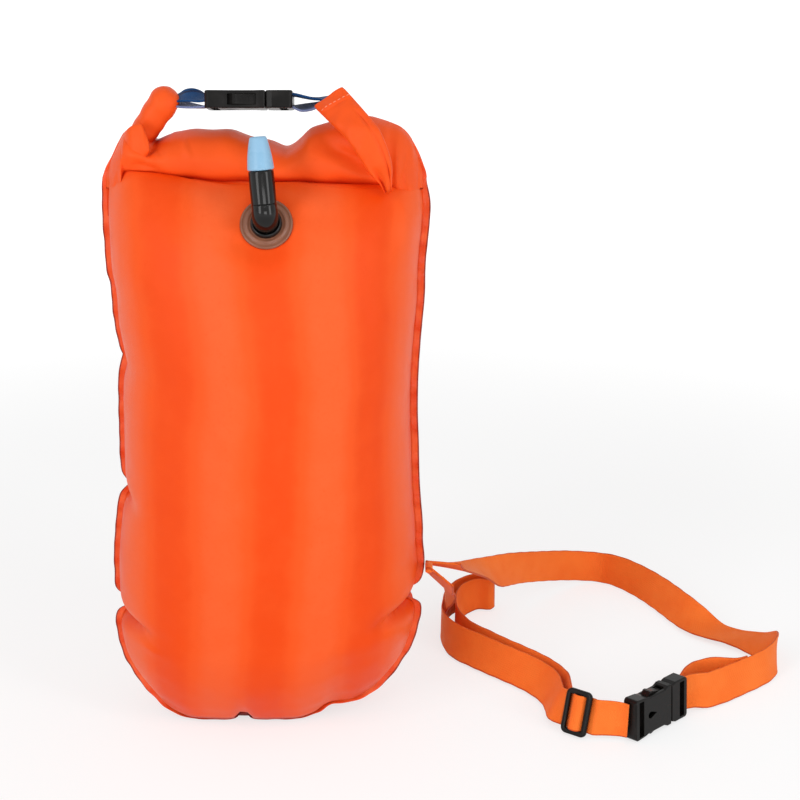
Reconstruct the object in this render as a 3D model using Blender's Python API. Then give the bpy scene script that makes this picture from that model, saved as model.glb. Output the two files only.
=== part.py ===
"""Open water swim buoy: an inflatable roll-top bag with a blowing valve, a clipped top strap and a waist belt.

Metres, +Z up, +X to the buoy's right hand side in the front view, the front facing -Y.
The origin is on the floor, at the middle of the bag and its handle. The belt stands on its edge beside it.
"""

from math import asin, atan2, cos, degrees, hypot, pi, radians, sin

import bmesh
import bpy
from mathutils import Matrix, Vector

# Clearances
GAP = 0.0003
OVERRUN = 0.004

# Inflated bag
BAG_HALF_WIDTH = 0.115
BAG_HALF_DEPTH = 0.088
BAG_HEIGHT = 0.390
LINER_THICKNESS = 0.0014
FLANGE_WIDTH = 0.0055
FLANGE_THICKNESS = 0.0016
LINER_INSET = 0.014

# Each row: height, left edge, right edge, front depth, back depth and how far the seam is pushed forward,
# as shares of the bag's height, half width (twice), half depth (three times).
BAG_LEVEL_SHARES = [
    (0.000, 0.430, 0.300, 0.335, 0.400, 0.300),
    (0.008, 0.560, 0.350, 0.410, 0.460, 0.295),
    (0.018, 0.650, 0.400, 0.470, 0.510, 0.280),
    (0.029, 0.715, 0.530, 0.515, 0.550, 0.250),
    (0.042, 0.775, 0.665, 0.565, 0.590, 0.205),
    (0.062, 0.850, 0.750, 0.635, 0.650, 0.150),
    (0.088, 0.905, 0.830, 0.715, 0.720, 0.090),
    (0.116, 0.950, 0.890, 0.785, 0.785, 0.040),
    (0.154, 0.980, 0.935, 0.850, 0.850, 0.000),
    (0.180, 0.955, 0.940, 0.880, 0.880, 0.000),
    (0.195, 0.910, 0.930, 0.890, 0.890, 0.000),
    (0.208, 0.855, 0.890, 0.895, 0.895, 0.000),
    (0.220, 0.900, 0.845, 0.905, 0.905, 0.000),
    (0.234, 0.945, 0.885, 0.915, 0.915, 0.000),
    (0.252, 0.973, 0.935, 0.930, 0.930, 0.000),
    (0.285, 0.975, 0.970, 0.950, 0.950, 0.000),
    (0.325, 0.968, 0.962, 0.970, 0.970, 0.000),
    (0.370, 0.953, 0.956, 0.982, 0.982, 0.000),
    (0.408, 0.933, 0.950, 0.990, 0.990, 0.000),
    (0.426, 0.893, 0.945, 0.992, 0.992, 0.000),
    (0.439, 0.860, 0.940, 0.993, 0.993, 0.000),
    (0.454, 0.884, 0.938, 0.995, 0.995, 0.000),
    (0.485, 0.906, 0.936, 1.000, 1.000, 0.000),
    (0.555, 0.905, 0.930, 1.000, 1.000, 0.000),
    (0.645, 0.892, 0.928, 1.000, 1.000, 0.000),
    (0.735, 0.895, 0.945, 0.985, 0.985, 0.000),
    (0.820, 0.925, 0.965, 0.935, 0.935, 0.000),
    (0.885, 0.938, 0.978, 0.855, 0.855, 0.000),
    (0.930, 0.942, 0.995, 0.750, 0.750, 0.000),
    (0.965, 0.945, 0.998, 0.610, 0.610, 0.000),
    (0.987, 0.930, 0.985, 0.480, 0.480, 0.000),
    (1.000, 0.905, 0.960, 0.340, 0.340, 0.000),
]
ARC_POINTS = 17
ARC_POWER = 2.3
SEAM_EDGE = 0.0014
SEAM_SKIPPED_COUNT = 2

# Rolled mouth: station along the bag's half width, then its underside, top and half depth as shares of
# the roll's own diameter.
ROLL_DIAMETER = 0.034
ROLL_STATION_SHARES = [
    (-0.930, -0.10, 0.10, 0.28),
    (-0.905, -0.10, 0.36, 0.42),
    (-0.850, 0.00, 0.66, 0.58),
    (-0.770, 0.00, 0.82, 0.68),
    (-0.690, 0.00, 0.78, 0.74),
    (-0.600, 0.00, 0.80, 0.78),
    (-0.500, 0.00, 0.92, 0.80),
    (-0.370, 0.00, 0.98, 0.82),
    (-0.200, 0.00, 0.98, 0.82),
    (-0.060, 0.00, 0.90, 0.80),
    (0.050, 0.00, 0.76, 0.76),
    (0.128, 0.00, 0.66, 0.72),
    (0.220, 0.00, 0.78, 0.74),
    (0.310, 0.00, 1.02, 0.74),
    (0.450, 0.00, 1.08, 0.72),
    (0.600, 0.00, 1.14, 0.70),
    (0.760, 0.00, 1.10, 0.66),
    (0.840, 0.00, 0.98, 0.60),
    (0.910, 0.00, 0.64, 0.50),
    (0.965, -0.10, 0.28, 0.36),
    (0.990, -0.10, 0.06, 0.20),
]
ROLL_TOP_SHARE = 0.12
ROLL_RING_POINTS = 16
STIFFENER_HEIGHT = 0.0150
STIFFENER_THICKNESS = 0.0009
STIFFENER_LENGTH = 0.196

# Webbing
TOP_WEBBING_WIDTH = 0.0240
TOP_WEBBING_THICKNESS = 0.0013
TOP_STRAP_BULGE = 0.0052
BELT_WEBBING_WIDTH = 0.0260
BELT_WEBBING_THICKNESS = 0.0014

# Handle: the roll ends bent up, with the strap and its buckle between them, all placed from the bag's top
BAG_TOP = Vector((0.0, 0.0, BAG_HEIGHT))
LEFT_END_BASE_RISE = 0.0384
LEFT_END_TIP_RISE = 0.0530
LEFT_END_BASE = Vector((-0.0715, 0.0010, BAG_HEIGHT + LEFT_END_BASE_RISE))
LEFT_END_TIP = Vector((-0.0630, 0.0010, BAG_HEIGHT + LEFT_END_TIP_RISE))
LEFT_END_RADIUS = 0.0108
LEFT_END_HALF_DEPTH = 0.0135
RIGHT_END_WIDTH = 0.0270
RIGHT_END_THICKNESS = 0.0085
RIGHT_END_FLARE_SHARE = 0.25
# A soft strip has a hand-placed route, from its foot on the shoulder to its clipped tip.
RIGHT_END_ROUTE = [
    BAG_TOP + Vector((0.0850, -0.0362, 0.0045)),
    BAG_TOP + Vector((0.0770, -0.0385, 0.0180)),
    BAG_TOP + Vector((0.0680, -0.0365, 0.0300)),
    BAG_TOP + Vector((0.0590, -0.0275, 0.0430)),
    BAG_TOP + Vector((0.0475, -0.0100, 0.0570)),
]
TOP_BUCKLE_CENTRE = BAG_TOP + Vector((-0.0062, 0.0010, 0.0548))
TOP_BUCKLE_TILT_DEG = 14.0

# Side-release buckle, both sizes alike
BUCKLE_LENGTH = 0.0580
BUCKLE_HALF_WIDTH = 0.0157
BUCKLE_THICKNESS = 0.0118
SOCKET_LENGTH = 0.0400
SOCKET_WAIST = 0.0018
BUCKLE_WALL = 0.0023
CAVITY_HALF_WIDTH = 0.0135
CAVITY_DEPTH = 0.0290
RIM_LENGTH = 0.0060
WINDOW_LENGTH = 0.0190
STRAP_SLOT_LENGTH = 0.0052
STRAP_BAR = 0.0036
BUCKLE_BEVEL = 0.0009
TEARDROP_RADIUS = 0.0026
TEARDROP_LENGTH = 0.0070
ARM_LENGTH = 0.0255
ARM_HALF_ROOT = 0.0020
ARM_HINGE_OFFSET = 0.0100
ARM_SWING_DEG = 15.0
PLUG_TRAVEL = 0.0200
PAD_START = 0.0110
PAD_TOP = 0.0032
PAD_FIT_SHARE = 0.9
TONGUE_LENGTH = 0.0075
TONGUE_HALF_WIDTH = 0.0024
PLUG_NECK = 0.0016

# Belt buckle and slider, standing on their edges on the floor
BELT_BUCKLE_FOOT = Vector((0.2852, -0.0350, 0.0004))
BELT_BUCKLE_HEADING_DEG = 44.5
BELT_BUCKLE_LEAN_DEG = 3.0
SLIDER_FOOT = Vector((0.2165, -0.0560, 0.0004))
SLIDER_HEADING_DEG = -36.0
SLIDER_LEAN_DEG = 17.0
SLIDER_LENGTH = 0.0205
SLIDER_HALF_WIDTH = 0.0165
SLIDER_THICKNESS = 0.0034
SLIDER_BAR = 0.0030
SLIDER_MIDDLE_BAR = 0.0024
SLIDER_END_BAR = 0.0028
SLIDER_BEVEL = 0.0009

# Valve
VALVE_OFFSET = 0.0070
VALVE_OUT_SHARE = 59 / 88
VALVE_HEIGHT_SHARE = 751 / 780
VALVE_FACING_DEG = 33.0
VALVE_FLANGE_RADIUS = 0.0175
VALVE_FLANGE_THICKNESS = 0.0016
VALVE_BACKING_RADIUS = 0.0140
VALVE_BACKING_THICKNESS = 0.0010
VALVE_BORE = 0.0034
VALVE_COLLAR_RADIUS = 0.0102
VALVE_COLLAR_HEIGHT = 0.0034
HEAD_TURN_DEG = 5.0
STEM_RADIUS = 0.0082
STEM_BEND = 0.0090
STEM_STAND_OFF = 0.0050
STEM_LEAN_DEG = 24.0
STEM_LENGTH = 0.0030
SLEEVE_LENGTH = 0.0215
SLEEVE_TOP_RADIUS = 0.0079
SLEEVE_BORE = 0.0056
NOZZLE_LENGTH = 0.0225
NOZZLE_FOOT_RADIUS = 0.0086
NOZZLE_TIP_HALF_WIDTH = 0.0056
NOZZLE_TIP_HALF_THICKNESS = 0.0042
NOZZLE_STEM_RADIUS = 0.0042
NOZZLE_STEM_LENGTH = 0.0170
NOZZLE_BORE_HALF_WIDTH = 0.0024
NOZZLE_BORE_HALF_THICKNESS = 0.0018
NOZZLE_LIFT = 0.0030
SEAL_THICKNESS = 0.0009
ROUND_POINTS = 24

# Leash anchor on the right hand seam
ANCHOR_HEIGHT = 0.1120
ANCHOR_TAB_LENGTH = 0.0110
ANCHOR_TAB_HEIGHT = 0.0052

# Routes of the free webbing. Each point is the middle of the webbing, and the angle leans its top edge
# over: 0 stands upright, and a positive angle leans it to the left of its travel.
BACK_ROUTE = [
    (0.1250, -0.0006, 0.1103, 88),
    (0.1290, 0.0280, 0.0944, 86),
    (0.1390, 0.0580, 0.0799, 80),
    (0.1522, 0.0880, 0.0654, 66),
    (0.1675, 0.1160, 0.0518, 34),
    (0.1824, 0.1420, 0.0424, 10),
    (0.1992, 0.1660, 0.0336, 0),
    (0.2287, 0.1970, 0.0213, 0),
    (0.2560, 0.2110, 0.0140, 2),
    (0.2740, 0.2030, 0.0136, 12),
    (0.2910, 0.1830, 0.0132, 22),
    (0.3050, 0.1590, 0.0128, 32),
    (0.3180, 0.1325, 0.0118, 42),
    (0.3290, 0.1165, 0.0090, 62),
    (0.3410, 0.1060, 0.0055, 83),
    (0.3550, 0.0960, 0.0050, 87),
    (0.3690, 0.0820, 0.0072, 70),
    (0.3776, 0.0650, 0.0118, 30),
    (0.3788, 0.0470, 0.0137, -4),
    (0.3716, 0.0325, 0.0137, -12),
    (0.3600, 0.0205, 0.0135, -14),
    (0.3460, 0.0095, 0.0132, -16),
    (0.3310, -0.0025, 0.0132, -18),
    (0.3180, -0.0115, 0.0138, -16),
    (0.3080, -0.0158, 0.0158, -8),
    (0.2981, -0.0210, 0.0160, -4),
]
RETURN_ROUTE = [
    (0.2967, -0.0193, 0.0160, 4),
    (0.3050, -0.0040, 0.0158, 10),
    (0.3150, 0.0085, 0.0138, 18),
    (0.3280, 0.0145, 0.0136, 18),
    (0.3420, 0.0165, 0.0136, 16),
    (0.3532, 0.0205, 0.0136, 15),
]
FRONT_ROUTE = [
    (0.2475, -0.0605, 0.0165, 20),
    (0.2400, -0.0605, 0.0165, 19),
    (0.2330, -0.0585, 0.0165, 18),
]
ADJUSTER_ROUTE = [
    (0.2115, -0.0427, 0.0162, -17),
    (0.2060, -0.0338, 0.0152, -26),
    (0.2052, -0.0215, 0.0144, -26),
    (0.2036, -0.0080, 0.0134, -28),
    (0.1984, 0.0054, 0.0125, -32),
    (0.1894, 0.0186, 0.0122, -34),
    (0.1772, 0.0318, 0.0120, -36),
    (0.1636, 0.0448, 0.0122, -34),
    (0.1507, 0.0570, 0.0127, -29),
    (0.1388, 0.0690, 0.0130, -20),
    (0.1306, 0.0830, 0.0137, -8),
    (0.1268, 0.1010, 0.0138, -2),
    (0.1281, 0.1190, 0.0138, 0),
    (0.1315, 0.1380, 0.0138, 2),
    (0.1395, 0.1535, 0.0138, 6),
    (0.1490, 0.1635, 0.0137, 8),
    (0.1582, 0.1675, 0.0138, 6),
    (0.1666, 0.1655, 0.0138, 2),
    (0.1700, 0.1600, 0.0138, 0),
    (0.1666, 0.1555, 0.0138, -2),
    (0.1586, 0.1570, 0.0138, -6),
    (0.1515, 0.1540, 0.0137, -9),
    (0.1445, 0.1450, 0.0137, -8),
    (0.1400, 0.1325, 0.0138, -4),
    (0.1380, 0.1180, 0.0138, 0),
    (0.1380, 0.1030, 0.0137, 6),
    (0.1405, 0.0890, 0.0134, 16),
    (0.1465, 0.0765, 0.0130, 24),
    (0.1560, 0.0660, 0.0127, 29),
    (0.1690, 0.0520, 0.0122, 34),
    (0.1830, 0.0380, 0.0120, 36),
    (0.1960, 0.0230, 0.0122, 34),
    (0.2060, 0.0070, 0.0128, 29),
    (0.2120, -0.0100, 0.0142, 23),
    (0.2134, -0.0250, 0.0160, 16),
    (0.2142, -0.0375, 0.0162, 12),
]
LEASH_ROUTE = [
    (0.1225, 0.0002, 0.1000, 46),
    (0.1235, 0.0300, 0.0805, 46),
    (0.1255, 0.0600, 0.0680, 46),
    (0.1290, 0.0880, 0.0520, 36),
    (0.1296, 0.1060, 0.0380, 8),
    (0.1301, 0.1180, 0.0280, 0),
]
ROUTE_STEP = 0.0060

ORANGE = (0.92, 0.14, 0.03)
WEBBING_ORANGE = (0.90, 0.20, 0.03)
BLUE = (0.02, 0.12, 0.35)
PALE_BLUE = (0.30, 0.55, 0.80)
BLACK = (0.012, 0.011, 0.010)
SMOKED = (0.10, 0.035, 0.015)
CLEAR_GREY = (0.45, 0.45, 0.45)


def clear_scene():
    for old in list(bpy.data.objects):
        bpy.data.objects.remove(old, do_unlink=True)


def paint(obj, name, colour, roughness, metallic=0.0):
    """One material for each object, with its colour, roughness and metal value."""
    material = bpy.data.materials.get(name)
    if material is None:
        material = bpy.data.materials.new(name)
        material.use_nodes = True
        shader = material.node_tree.nodes["Principled BSDF"]
        shader.inputs["Base Color"].default_value = (*colour, 1.0)
        shader.inputs["Roughness"].default_value = roughness
        shader.inputs["Metallic"].default_value = metallic
    obj.data.materials.append(material)


def add_object(name, bm, parent=None, matrix=None):
    """Turns a bmesh into an object, shaded smooth but for its sharp edges."""
    bmesh.ops.recalc_face_normals(bm, faces=bm.faces)
    mesh = bpy.data.meshes.new(name)
    bm.to_mesh(mesh)
    bm.free()
    mesh.shade_smooth()
    mesh.set_sharp_from_angle(angle=radians(35))
    obj = bpy.data.objects.new(name, mesh)
    bpy.context.collection.objects.link(obj)
    if parent is not None:
        obj.parent = parent
    if matrix is not None:
        obj.matrix_local = matrix
    return obj


def loft(rings):
    """A closed solid through rings that have as many points each."""
    bm = bmesh.new()
    rows = [[bm.verts.new(point) for point in ring] for ring in rings]
    count = len(rows[0])
    for low, high in zip(rows, rows[1:]):
        for i in range(count):
            j = (i + 1) % count
            bm.faces.new((low[i], low[j], high[j], high[i]))
    bm.faces.new(list(reversed(rows[0])))
    bm.faces.new(rows[-1])
    return bm


def extrude_outline(outline, low, high):
    """A prism over an outline of (x, y) points, between two heights."""
    return loft([[(x, y, z) for x, y in outline] for z in (low, high)])


def ring_points(half_x, half_y, z, count=ROUND_POINTS):
    turns = [2 * pi * i / count for i in range(count)]
    return [(half_x * cos(turn), half_y * sin(turn), z) for turn in turns]


def turned(profile, count=ROUND_POINTS):
    """A solid turned about Z from (radius, height) points, closed at both ends."""
    return loft([ring_points(radius, radius, z, count) for radius, z in profile])


def box(low, high):
    outline = [(low[0], low[1]), (high[0], low[1]), (high[0], high[1]), (low[0], high[1])]
    return extrude_outline(outline, low[2], high[2])


def cut(obj, cutter, operation="DIFFERENCE"):
    """Keeps a Boolean on the object and hides its cutter."""
    cutter.hide_render = True
    cutter.display_type = "WIRE"
    modifier = obj.modifiers.new(cutter.name, "BOOLEAN")
    modifier.operation = operation
    modifier.object = cutter
    modifier.solver = "EXACT"


def soften(obj, width, segments=2):
    bevel = obj.modifiers.new("edges", "BEVEL")
    bevel.width = width
    bevel.segments = segments
    bevel.limit_method = "ANGLE"
    bevel.angle_limit = radians(40)


def add_frame(name, matrix):
    empty = bpy.data.objects.new(name, None)
    bpy.context.collection.objects.link(empty)
    empty.matrix_world = matrix
    return empty


def curve_through(points, position):
    """A point at a fractional position on a smooth curve through the given points."""
    index = min(int(position), len(points) - 2)
    share = position - index
    last = len(points) - 1
    a, b, c, d = (points[min(max(index + k, 0), last)] for k in (-1, 0, 1, 2))
    square = share * share
    cube = square * share
    return [
        0.5 * (2 * q + (r - p) * share + (2 * p - 5 * q + 4 * r - s) * square + (3 * q - p - 3 * r + s) * cube)
        for p, q, r, s in zip(a, b, c, d)
    ]


def smooth_route(points, step):
    """Points about one step apart on the smooth curve through a route."""
    samples = []
    for index in range(len(points) - 1):
        span = hypot(*[points[index + 1][k] - points[index][k] for k in range(3)])
        pieces = max(1, round(span / step))
        samples += [curve_through(points, index + k / pieces) for k in range(pieces)]
    samples.append(list(points[-1]))
    return samples


def ribbon(centres, widths, width, thickness):
    """A flat strip: its middle line, the direction across it at each point, and its section."""
    rings = []
    last = len(centres) - 1
    for i, (centre, across) in enumerate(zip(centres, widths)):
        travel = (centres[min(i + 1, last)] - centres[max(i - 1, 0)]).normalized()
        across = (across - travel * across.dot(travel)).normalized()
        normal = travel.cross(across).normalized()
        half_w = across * width / 2
        half_t = normal * thickness / 2
        rings.append([centre + half_w + half_t, centre + half_w - half_t,
                      centre - half_w - half_t, centre - half_w + half_t])
    return loft(rings)


def leaning_ribbon(route, width, thickness):
    """Webbing along a route whose points hold x, y, z and the lean of its top edge."""
    samples = smooth_route(route, ROUTE_STEP)
    centres = [Vector(sample[:3]) for sample in samples]
    last = len(centres) - 1
    widths = []
    for i, sample in enumerate(samples):
        travel = centres[min(i + 1, last)] - centres[max(i - 1, 0)]
        left = Vector((-travel.y, travel.x, 0.0)).normalized()
        lean = radians(sample[3])
        widths.append(left * sin(lean) + Vector((0.0, 0.0, cos(lean))))
    return ribbon(centres, widths, width, thickness)


# Bag


def bag_levels():
    """Each level of the bag as height, left, right, front, back and seam place."""
    for height, left, right, front, back, seam in BAG_LEVEL_SHARES:
        edge = FLANGE_WIDTH + GAP
        yield (
            height * BAG_HEIGHT, edge - left * BAG_HALF_WIDTH, right * BAG_HALF_WIDTH - edge,
            -front * BAG_HALF_DEPTH, back * BAG_HALF_DEPTH, -seam * BAG_HALF_DEPTH,
        )


def chamber_ring(z, left, right, seam, outer, side):
    """One level of a chamber: a full arc outside and the flat liner side inside."""
    inner = seam + side * (LINER_THICKNESS / 2 + GAP)
    edge = inner + side * SEAM_EDGE
    middle = (left + right) / 2
    half = (right - left) / 2
    points = []
    for i in range(ARC_POINTS):
        across = -cos(pi * i / (ARC_POINTS - 1))
        bulge = (1 - abs(across) ** ARC_POWER) ** (1 / ARC_POWER)
        points.append((middle + half * across, edge + (outer - edge) * bulge, z))
    points.append((right, inner, z))
    points.append((left, inner, z))
    return points


def add_air_chambers():
    front_rings = []
    back_rings = []
    for z, left, right, front, back, seam in bag_levels():
        front_rings.append(chamber_ring(z, left, right, seam, front, -1))
        back_rings.append(chamber_ring(z, left, right, seam, back, 1))
    front_chamber = add_object("front_air_chamber", loft(front_rings))
    back_chamber = add_object("back_air_chamber", loft(back_rings))
    for chamber in (front_chamber, back_chamber):
        paint(chamber, "coated_fabric", ORANGE, 0.5)
    return front_chamber


def add_liner():
    """The flattened dry compartment between the two air chambers."""
    rings = []
    half = LINER_THICKNESS / 2
    for z, left, right, front, back, seam in bag_levels():
        low, high = left + LINER_INSET, right - LINER_INSET
        if z > 0:
            rings.append([(low, seam - half, z), (high, seam - half, z),
                          (high, seam + half, z), (low, seam + half, z)])
    liner = add_object("dry_compartment_liner", loft(rings))
    paint(liner, "liner_fabric", ORANGE, 0.6)


def seam_points(side):
    """The bag's outline on one side, from just over the floor up to the roll."""
    levels = list(bag_levels())[SEAM_SKIPPED_COUNT:-1]
    return [Vector((left if side < 0 else right, seam, z)) for z, left, right, front, back, seam in levels]


def add_side_seam(name, side):
    """The welded edge that stands out between the two panels."""
    outline = seam_points(side)
    centres = []
    widths = []
    last = len(outline) - 1
    for i, point in enumerate(outline):
        travel = (outline[min(i + 1, last)] - outline[max(i - 1, 0)]).normalized()
        outward = Vector((travel.z * side, 0.0, -travel.x * side)).normalized()
        centres.append(point + outward * (GAP + FLANGE_WIDTH / 2))
        widths.append(outward)
    seam = add_object(name, ribbon(centres, widths, FLANGE_WIDTH, FLANGE_THICKNESS))
    paint(seam, "welded_edge", ORANGE, 0.45)


# Rolled mouth


def roll_underside():
    return BAG_HEIGHT + GAP


def add_rolled_mouth():
    rings = []
    for station, low, high, depth in ROLL_STATION_SHARES:
        bottom = roll_underside() + max(low, 0.0) * ROLL_DIAMETER
        top = roll_underside() + (high + ROLL_TOP_SHARE) * ROLL_DIAMETER
        middle = (bottom + top) / 2
        half = (top - bottom) / 2
        x = station * BAG_HALF_WIDTH
        ring = []
        for i in range(ROLL_RING_POINTS):
            turn = 2 * pi * i / ROLL_RING_POINTS
            ring.append((x, depth * ROLL_DIAMETER * cos(turn), middle + half * sin(turn)))
        rings.append(ring)
    roll = add_object("rolled_mouth", loft(rings))
    paint(roll, "coated_fabric", ORANGE, 0.5)

    low = roll_underside() + ROLL_DIAMETER / 8
    slot_half = STIFFENER_THICKNESS + GAP * 3 / 2
    slot = add_object("stiffener_slot", box(
        (-BAG_HALF_WIDTH - OVERRUN, -slot_half, low - GAP),
        (BAG_HALF_WIDTH + OVERRUN, slot_half, low + STIFFENER_HEIGHT + GAP)))
    cut(roll, slot)
    for name, side in (("mouth_stiffener_front", -1), ("mouth_stiffener_back", 1)):
        near, far = side * GAP / 2, side * (GAP / 2 + STIFFENER_THICKNESS)
        strip = add_object(name, box(
            (-STIFFENER_LENGTH / 2, min(near, far), low),
            (STIFFENER_LENGTH / 2, max(near, far), low + STIFFENER_HEIGHT)))
        paint(strip, "clear_plastic_strip", CLEAR_GREY, 0.4)


def rounded_ring(centre, along_x, along_y, half_x, half_y, power=3.0, count=16):
    """A ring between an ellipse and a rectangle, for folded fabric."""
    points = []
    for i in range(count):
        turn = 2 * pi * i / count
        x = abs(cos(turn)) ** (2 / power) * (1 if cos(turn) >= 0 else -1)
        y = abs(sin(turn)) ** (2 / power) * (1 if sin(turn) >= 0 else -1)
        points.append(centre + along_x * half_x * x + along_y * half_y * y)
    return points


def add_left_roll_end():
    """A short tube of rolled fabric that is bent up and rounds over at its top."""
    travel = (LEFT_END_TIP - LEFT_END_BASE).normalized()
    across = Vector((0.0, 1.0, 0.0)).cross(travel).normalized()
    depth = Vector((0.0, 1.0, 0.0))
    stations = [(LEFT_END_BASE, 0.82), (LEFT_END_BASE.lerp(LEFT_END_TIP, 1 / 2), 0.96), (LEFT_END_TIP, 1.0)]
    for rise_share, size_share in ((0.45, 0.90), (0.80, 0.62), (1.0, 0.25)):
        stations.append((LEFT_END_TIP + travel * LEFT_END_RADIUS * rise_share, size_share))
    rings = [
        rounded_ring(centre, across, depth, LEFT_END_RADIUS * size, LEFT_END_HALF_DEPTH * size)
        for centre, size in stations
    ]
    end = add_object("left_roll_end", loft(rings))
    paint(end, "coated_fabric", ORANGE, 0.5)


def right_end_frames():
    """Middle line of the right roll end with its width and thickness directions."""
    points = [Vector(p) for p in smooth_route(RIGHT_END_ROUTE, ROUTE_STEP)]
    last = len(points) - 1
    frames = []
    for i, point in enumerate(points):
        travel = (points[min(i + 1, last)] - points[max(i - 1, 0)]).normalized()
        normal = Vector((0.0, -1.0, 0.0))
        across = travel.cross(normal).normalized()
        frames.append((point, travel, across, across.cross(travel).normalized()))
    return frames


def add_right_roll_end():
    """A flat folded strip that rises across the front of the shoulder to the strap."""
    frames = right_end_frames()
    last = len(frames) - 1
    rings = []
    for i, (point, travel, across, normal) in enumerate(frames):
        foot = 1 + RIGHT_END_FLARE_SHARE * (1 - i / last)
        rings.append(rounded_ring(point, across, normal, RIGHT_END_WIDTH / 2 * foot,
                                  RIGHT_END_THICKNESS / 2, power=5.0))
    end = add_object("right_roll_end", loft(rings))
    paint(end, "coated_fabric", ORANGE, 0.5)


# Side-release buckle. Its frame has +X from the socket to the plug, +Y across and +Z through the plates,
# with the mouth of the socket at X = 0.


def both_sides(outline_half):
    """Mirrors the upper half of an outline, so that it is alike on both sides."""
    return outline_half + [(x, -y) for x, y in reversed(outline_half)]


def cavity_half_height():
    return BUCKLE_THICKNESS / 2 - BUCKLE_WALL


def add_socket(name, frame):
    waist = BUCKLE_HALF_WIDTH - SOCKET_WAIST
    window_end = RIM_LENGTH + WINDOW_LENGTH
    slope = SOCKET_WAIST
    outline = both_sides([
        (0.0, BUCKLE_HALF_WIDTH), (-RIM_LENGTH + slope, BUCKLE_HALF_WIDTH), (-RIM_LENGTH - slope, waist),
        (-window_end, waist), (-window_end - 2 * slope, BUCKLE_HALF_WIDTH - slope / 2),
        (-SOCKET_LENGTH + slope, BUCKLE_HALF_WIDTH), (-SOCKET_LENGTH, BUCKLE_HALF_WIDTH - slope),
    ])
    outline.reverse()
    half = BUCKLE_THICKNESS / 2
    socket = add_object(name, extrude_outline(outline, -half, half), frame)
    soften(socket, BUCKLE_BEVEL)
    inside = cavity_half_height()
    cavity = add_object(name + "_cavity", box(
        (-CAVITY_DEPTH, -CAVITY_HALF_WIDTH, -inside), (OVERRUN, CAVITY_HALF_WIDTH, inside)), frame)
    windows = add_object(name + "_windows", box(
        (-window_end, -BUCKLE_HALF_WIDTH - OVERRUN, -inside),
        (-RIM_LENGTH, BUCKLE_HALF_WIDTH + OVERRUN, inside)), frame)
    bar_start = -SOCKET_LENGTH + STRAP_BAR
    slot = add_object(name + "_strap_slot", box(
        (bar_start, -CAVITY_HALF_WIDTH, -half - OVERRUN),
        (bar_start + STRAP_SLOT_LENGTH, CAVITY_HALF_WIDTH, half + OVERRUN)), frame)
    for cutter in (cavity, windows, slot):
        cut(socket, cutter)
    tip = -CAVITY_DEPTH + TEARDROP_RADIUS * 2
    teardrop = [(tip + TEARDROP_LENGTH, 0.0)]
    for i in range(13):
        turn = radians(70 + 220 * i / 12)
        teardrop.append((tip + TEARDROP_RADIUS * cos(turn), TEARDROP_RADIUS * sin(turn)))
    hole = add_object(name + "_sight_hole", extrude_outline(teardrop, -half - OVERRUN, half + OVERRUN), frame)
    cut(socket, hole)
    paint(socket, "black_acetal", BLACK, 0.35)
    return socket


def add_plug_body(name, frame):
    half = BUCKLE_THICKNESS / 2
    length = BUCKLE_LENGTH - SOCKET_LENGTH
    waist = BUCKLE_HALF_WIDTH - PLUG_NECK
    outline = both_sides([
        (GAP, waist), (length / 4, BUCKLE_HALF_WIDTH), (length - PLUG_NECK, BUCKLE_HALF_WIDTH),
        (length, BUCKLE_HALF_WIDTH - PLUG_NECK),
    ])
    plug = add_object(name, extrude_outline(outline, -half, half), frame)
    soften(plug, BUCKLE_BEVEL)
    slot = add_object(name + "_strap_slot", box(
        (length - STRAP_BAR - STRAP_SLOT_LENGTH, -CAVITY_HALF_WIDTH, -half - OVERRUN),
        (length - STRAP_BAR, CAVITY_HALF_WIDTH, half + OVERRUN)), frame)
    cut(plug, slot)
    inside = cavity_half_height() - GAP
    tongue = add_object(name + "_tongue", box(
        (-TONGUE_LENGTH, -TONGUE_HALF_WIDTH, -inside), (OVERRUN, TONGUE_HALF_WIDTH, inside)), frame)
    cut(plug, tongue, "UNION")
    paint(plug, "black_acetal", BLACK, 0.35)
    return plug


def pad_height(depth):
    """How far the finger pad stands past the rim, so that it slips by as the plug is drawn."""
    swing_per_travel = radians(ARM_SWING_DEG) / PLUG_TRAVEL
    free = PAD_FIT_SHARE * swing_per_travel * depth * (depth - RIM_LENGTH)
    return min(PAD_TOP, free)


def arm_outline(side):
    """The latch arm seen through the plates, with its round root on the hinge."""
    hinge = ARM_HALF_ROOT + 2 * GAP
    outer = CAVITY_HALF_WIDTH - GAP
    root = []
    for i in range(9):
        turn = radians(-90 + 180 * i / 8)
        root.append((-hinge + ARM_HALF_ROOT * cos(turn), ARM_HINGE_OFFSET + ARM_HALF_ROOT * sin(turn)))
    outside = [(-PAD_START * 3 / 4, outer - GAP), (-PAD_START, outer)]
    steps = 6
    pad_end = ARM_LENGTH * 0.84
    for i in range(steps + 1):
        depth = PAD_START + (pad_end - PAD_START) * i / steps
        outside.append((-depth, outer + pad_height(depth)))
    nose = [(-ARM_LENGTH * 0.94, outer), (-ARM_LENGTH, ARM_HINGE_OFFSET + ARM_HALF_ROOT)]
    inner = [(-ARM_LENGTH, ARM_HINGE_OFFSET), (-PAD_START, ARM_HINGE_OFFSET - ARM_HALF_ROOT / 2)]
    outline = root + outside + nose + inner
    if side < 0:
        outline = [(x, -y) for x, y in reversed(outline)]
    return outline


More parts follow.
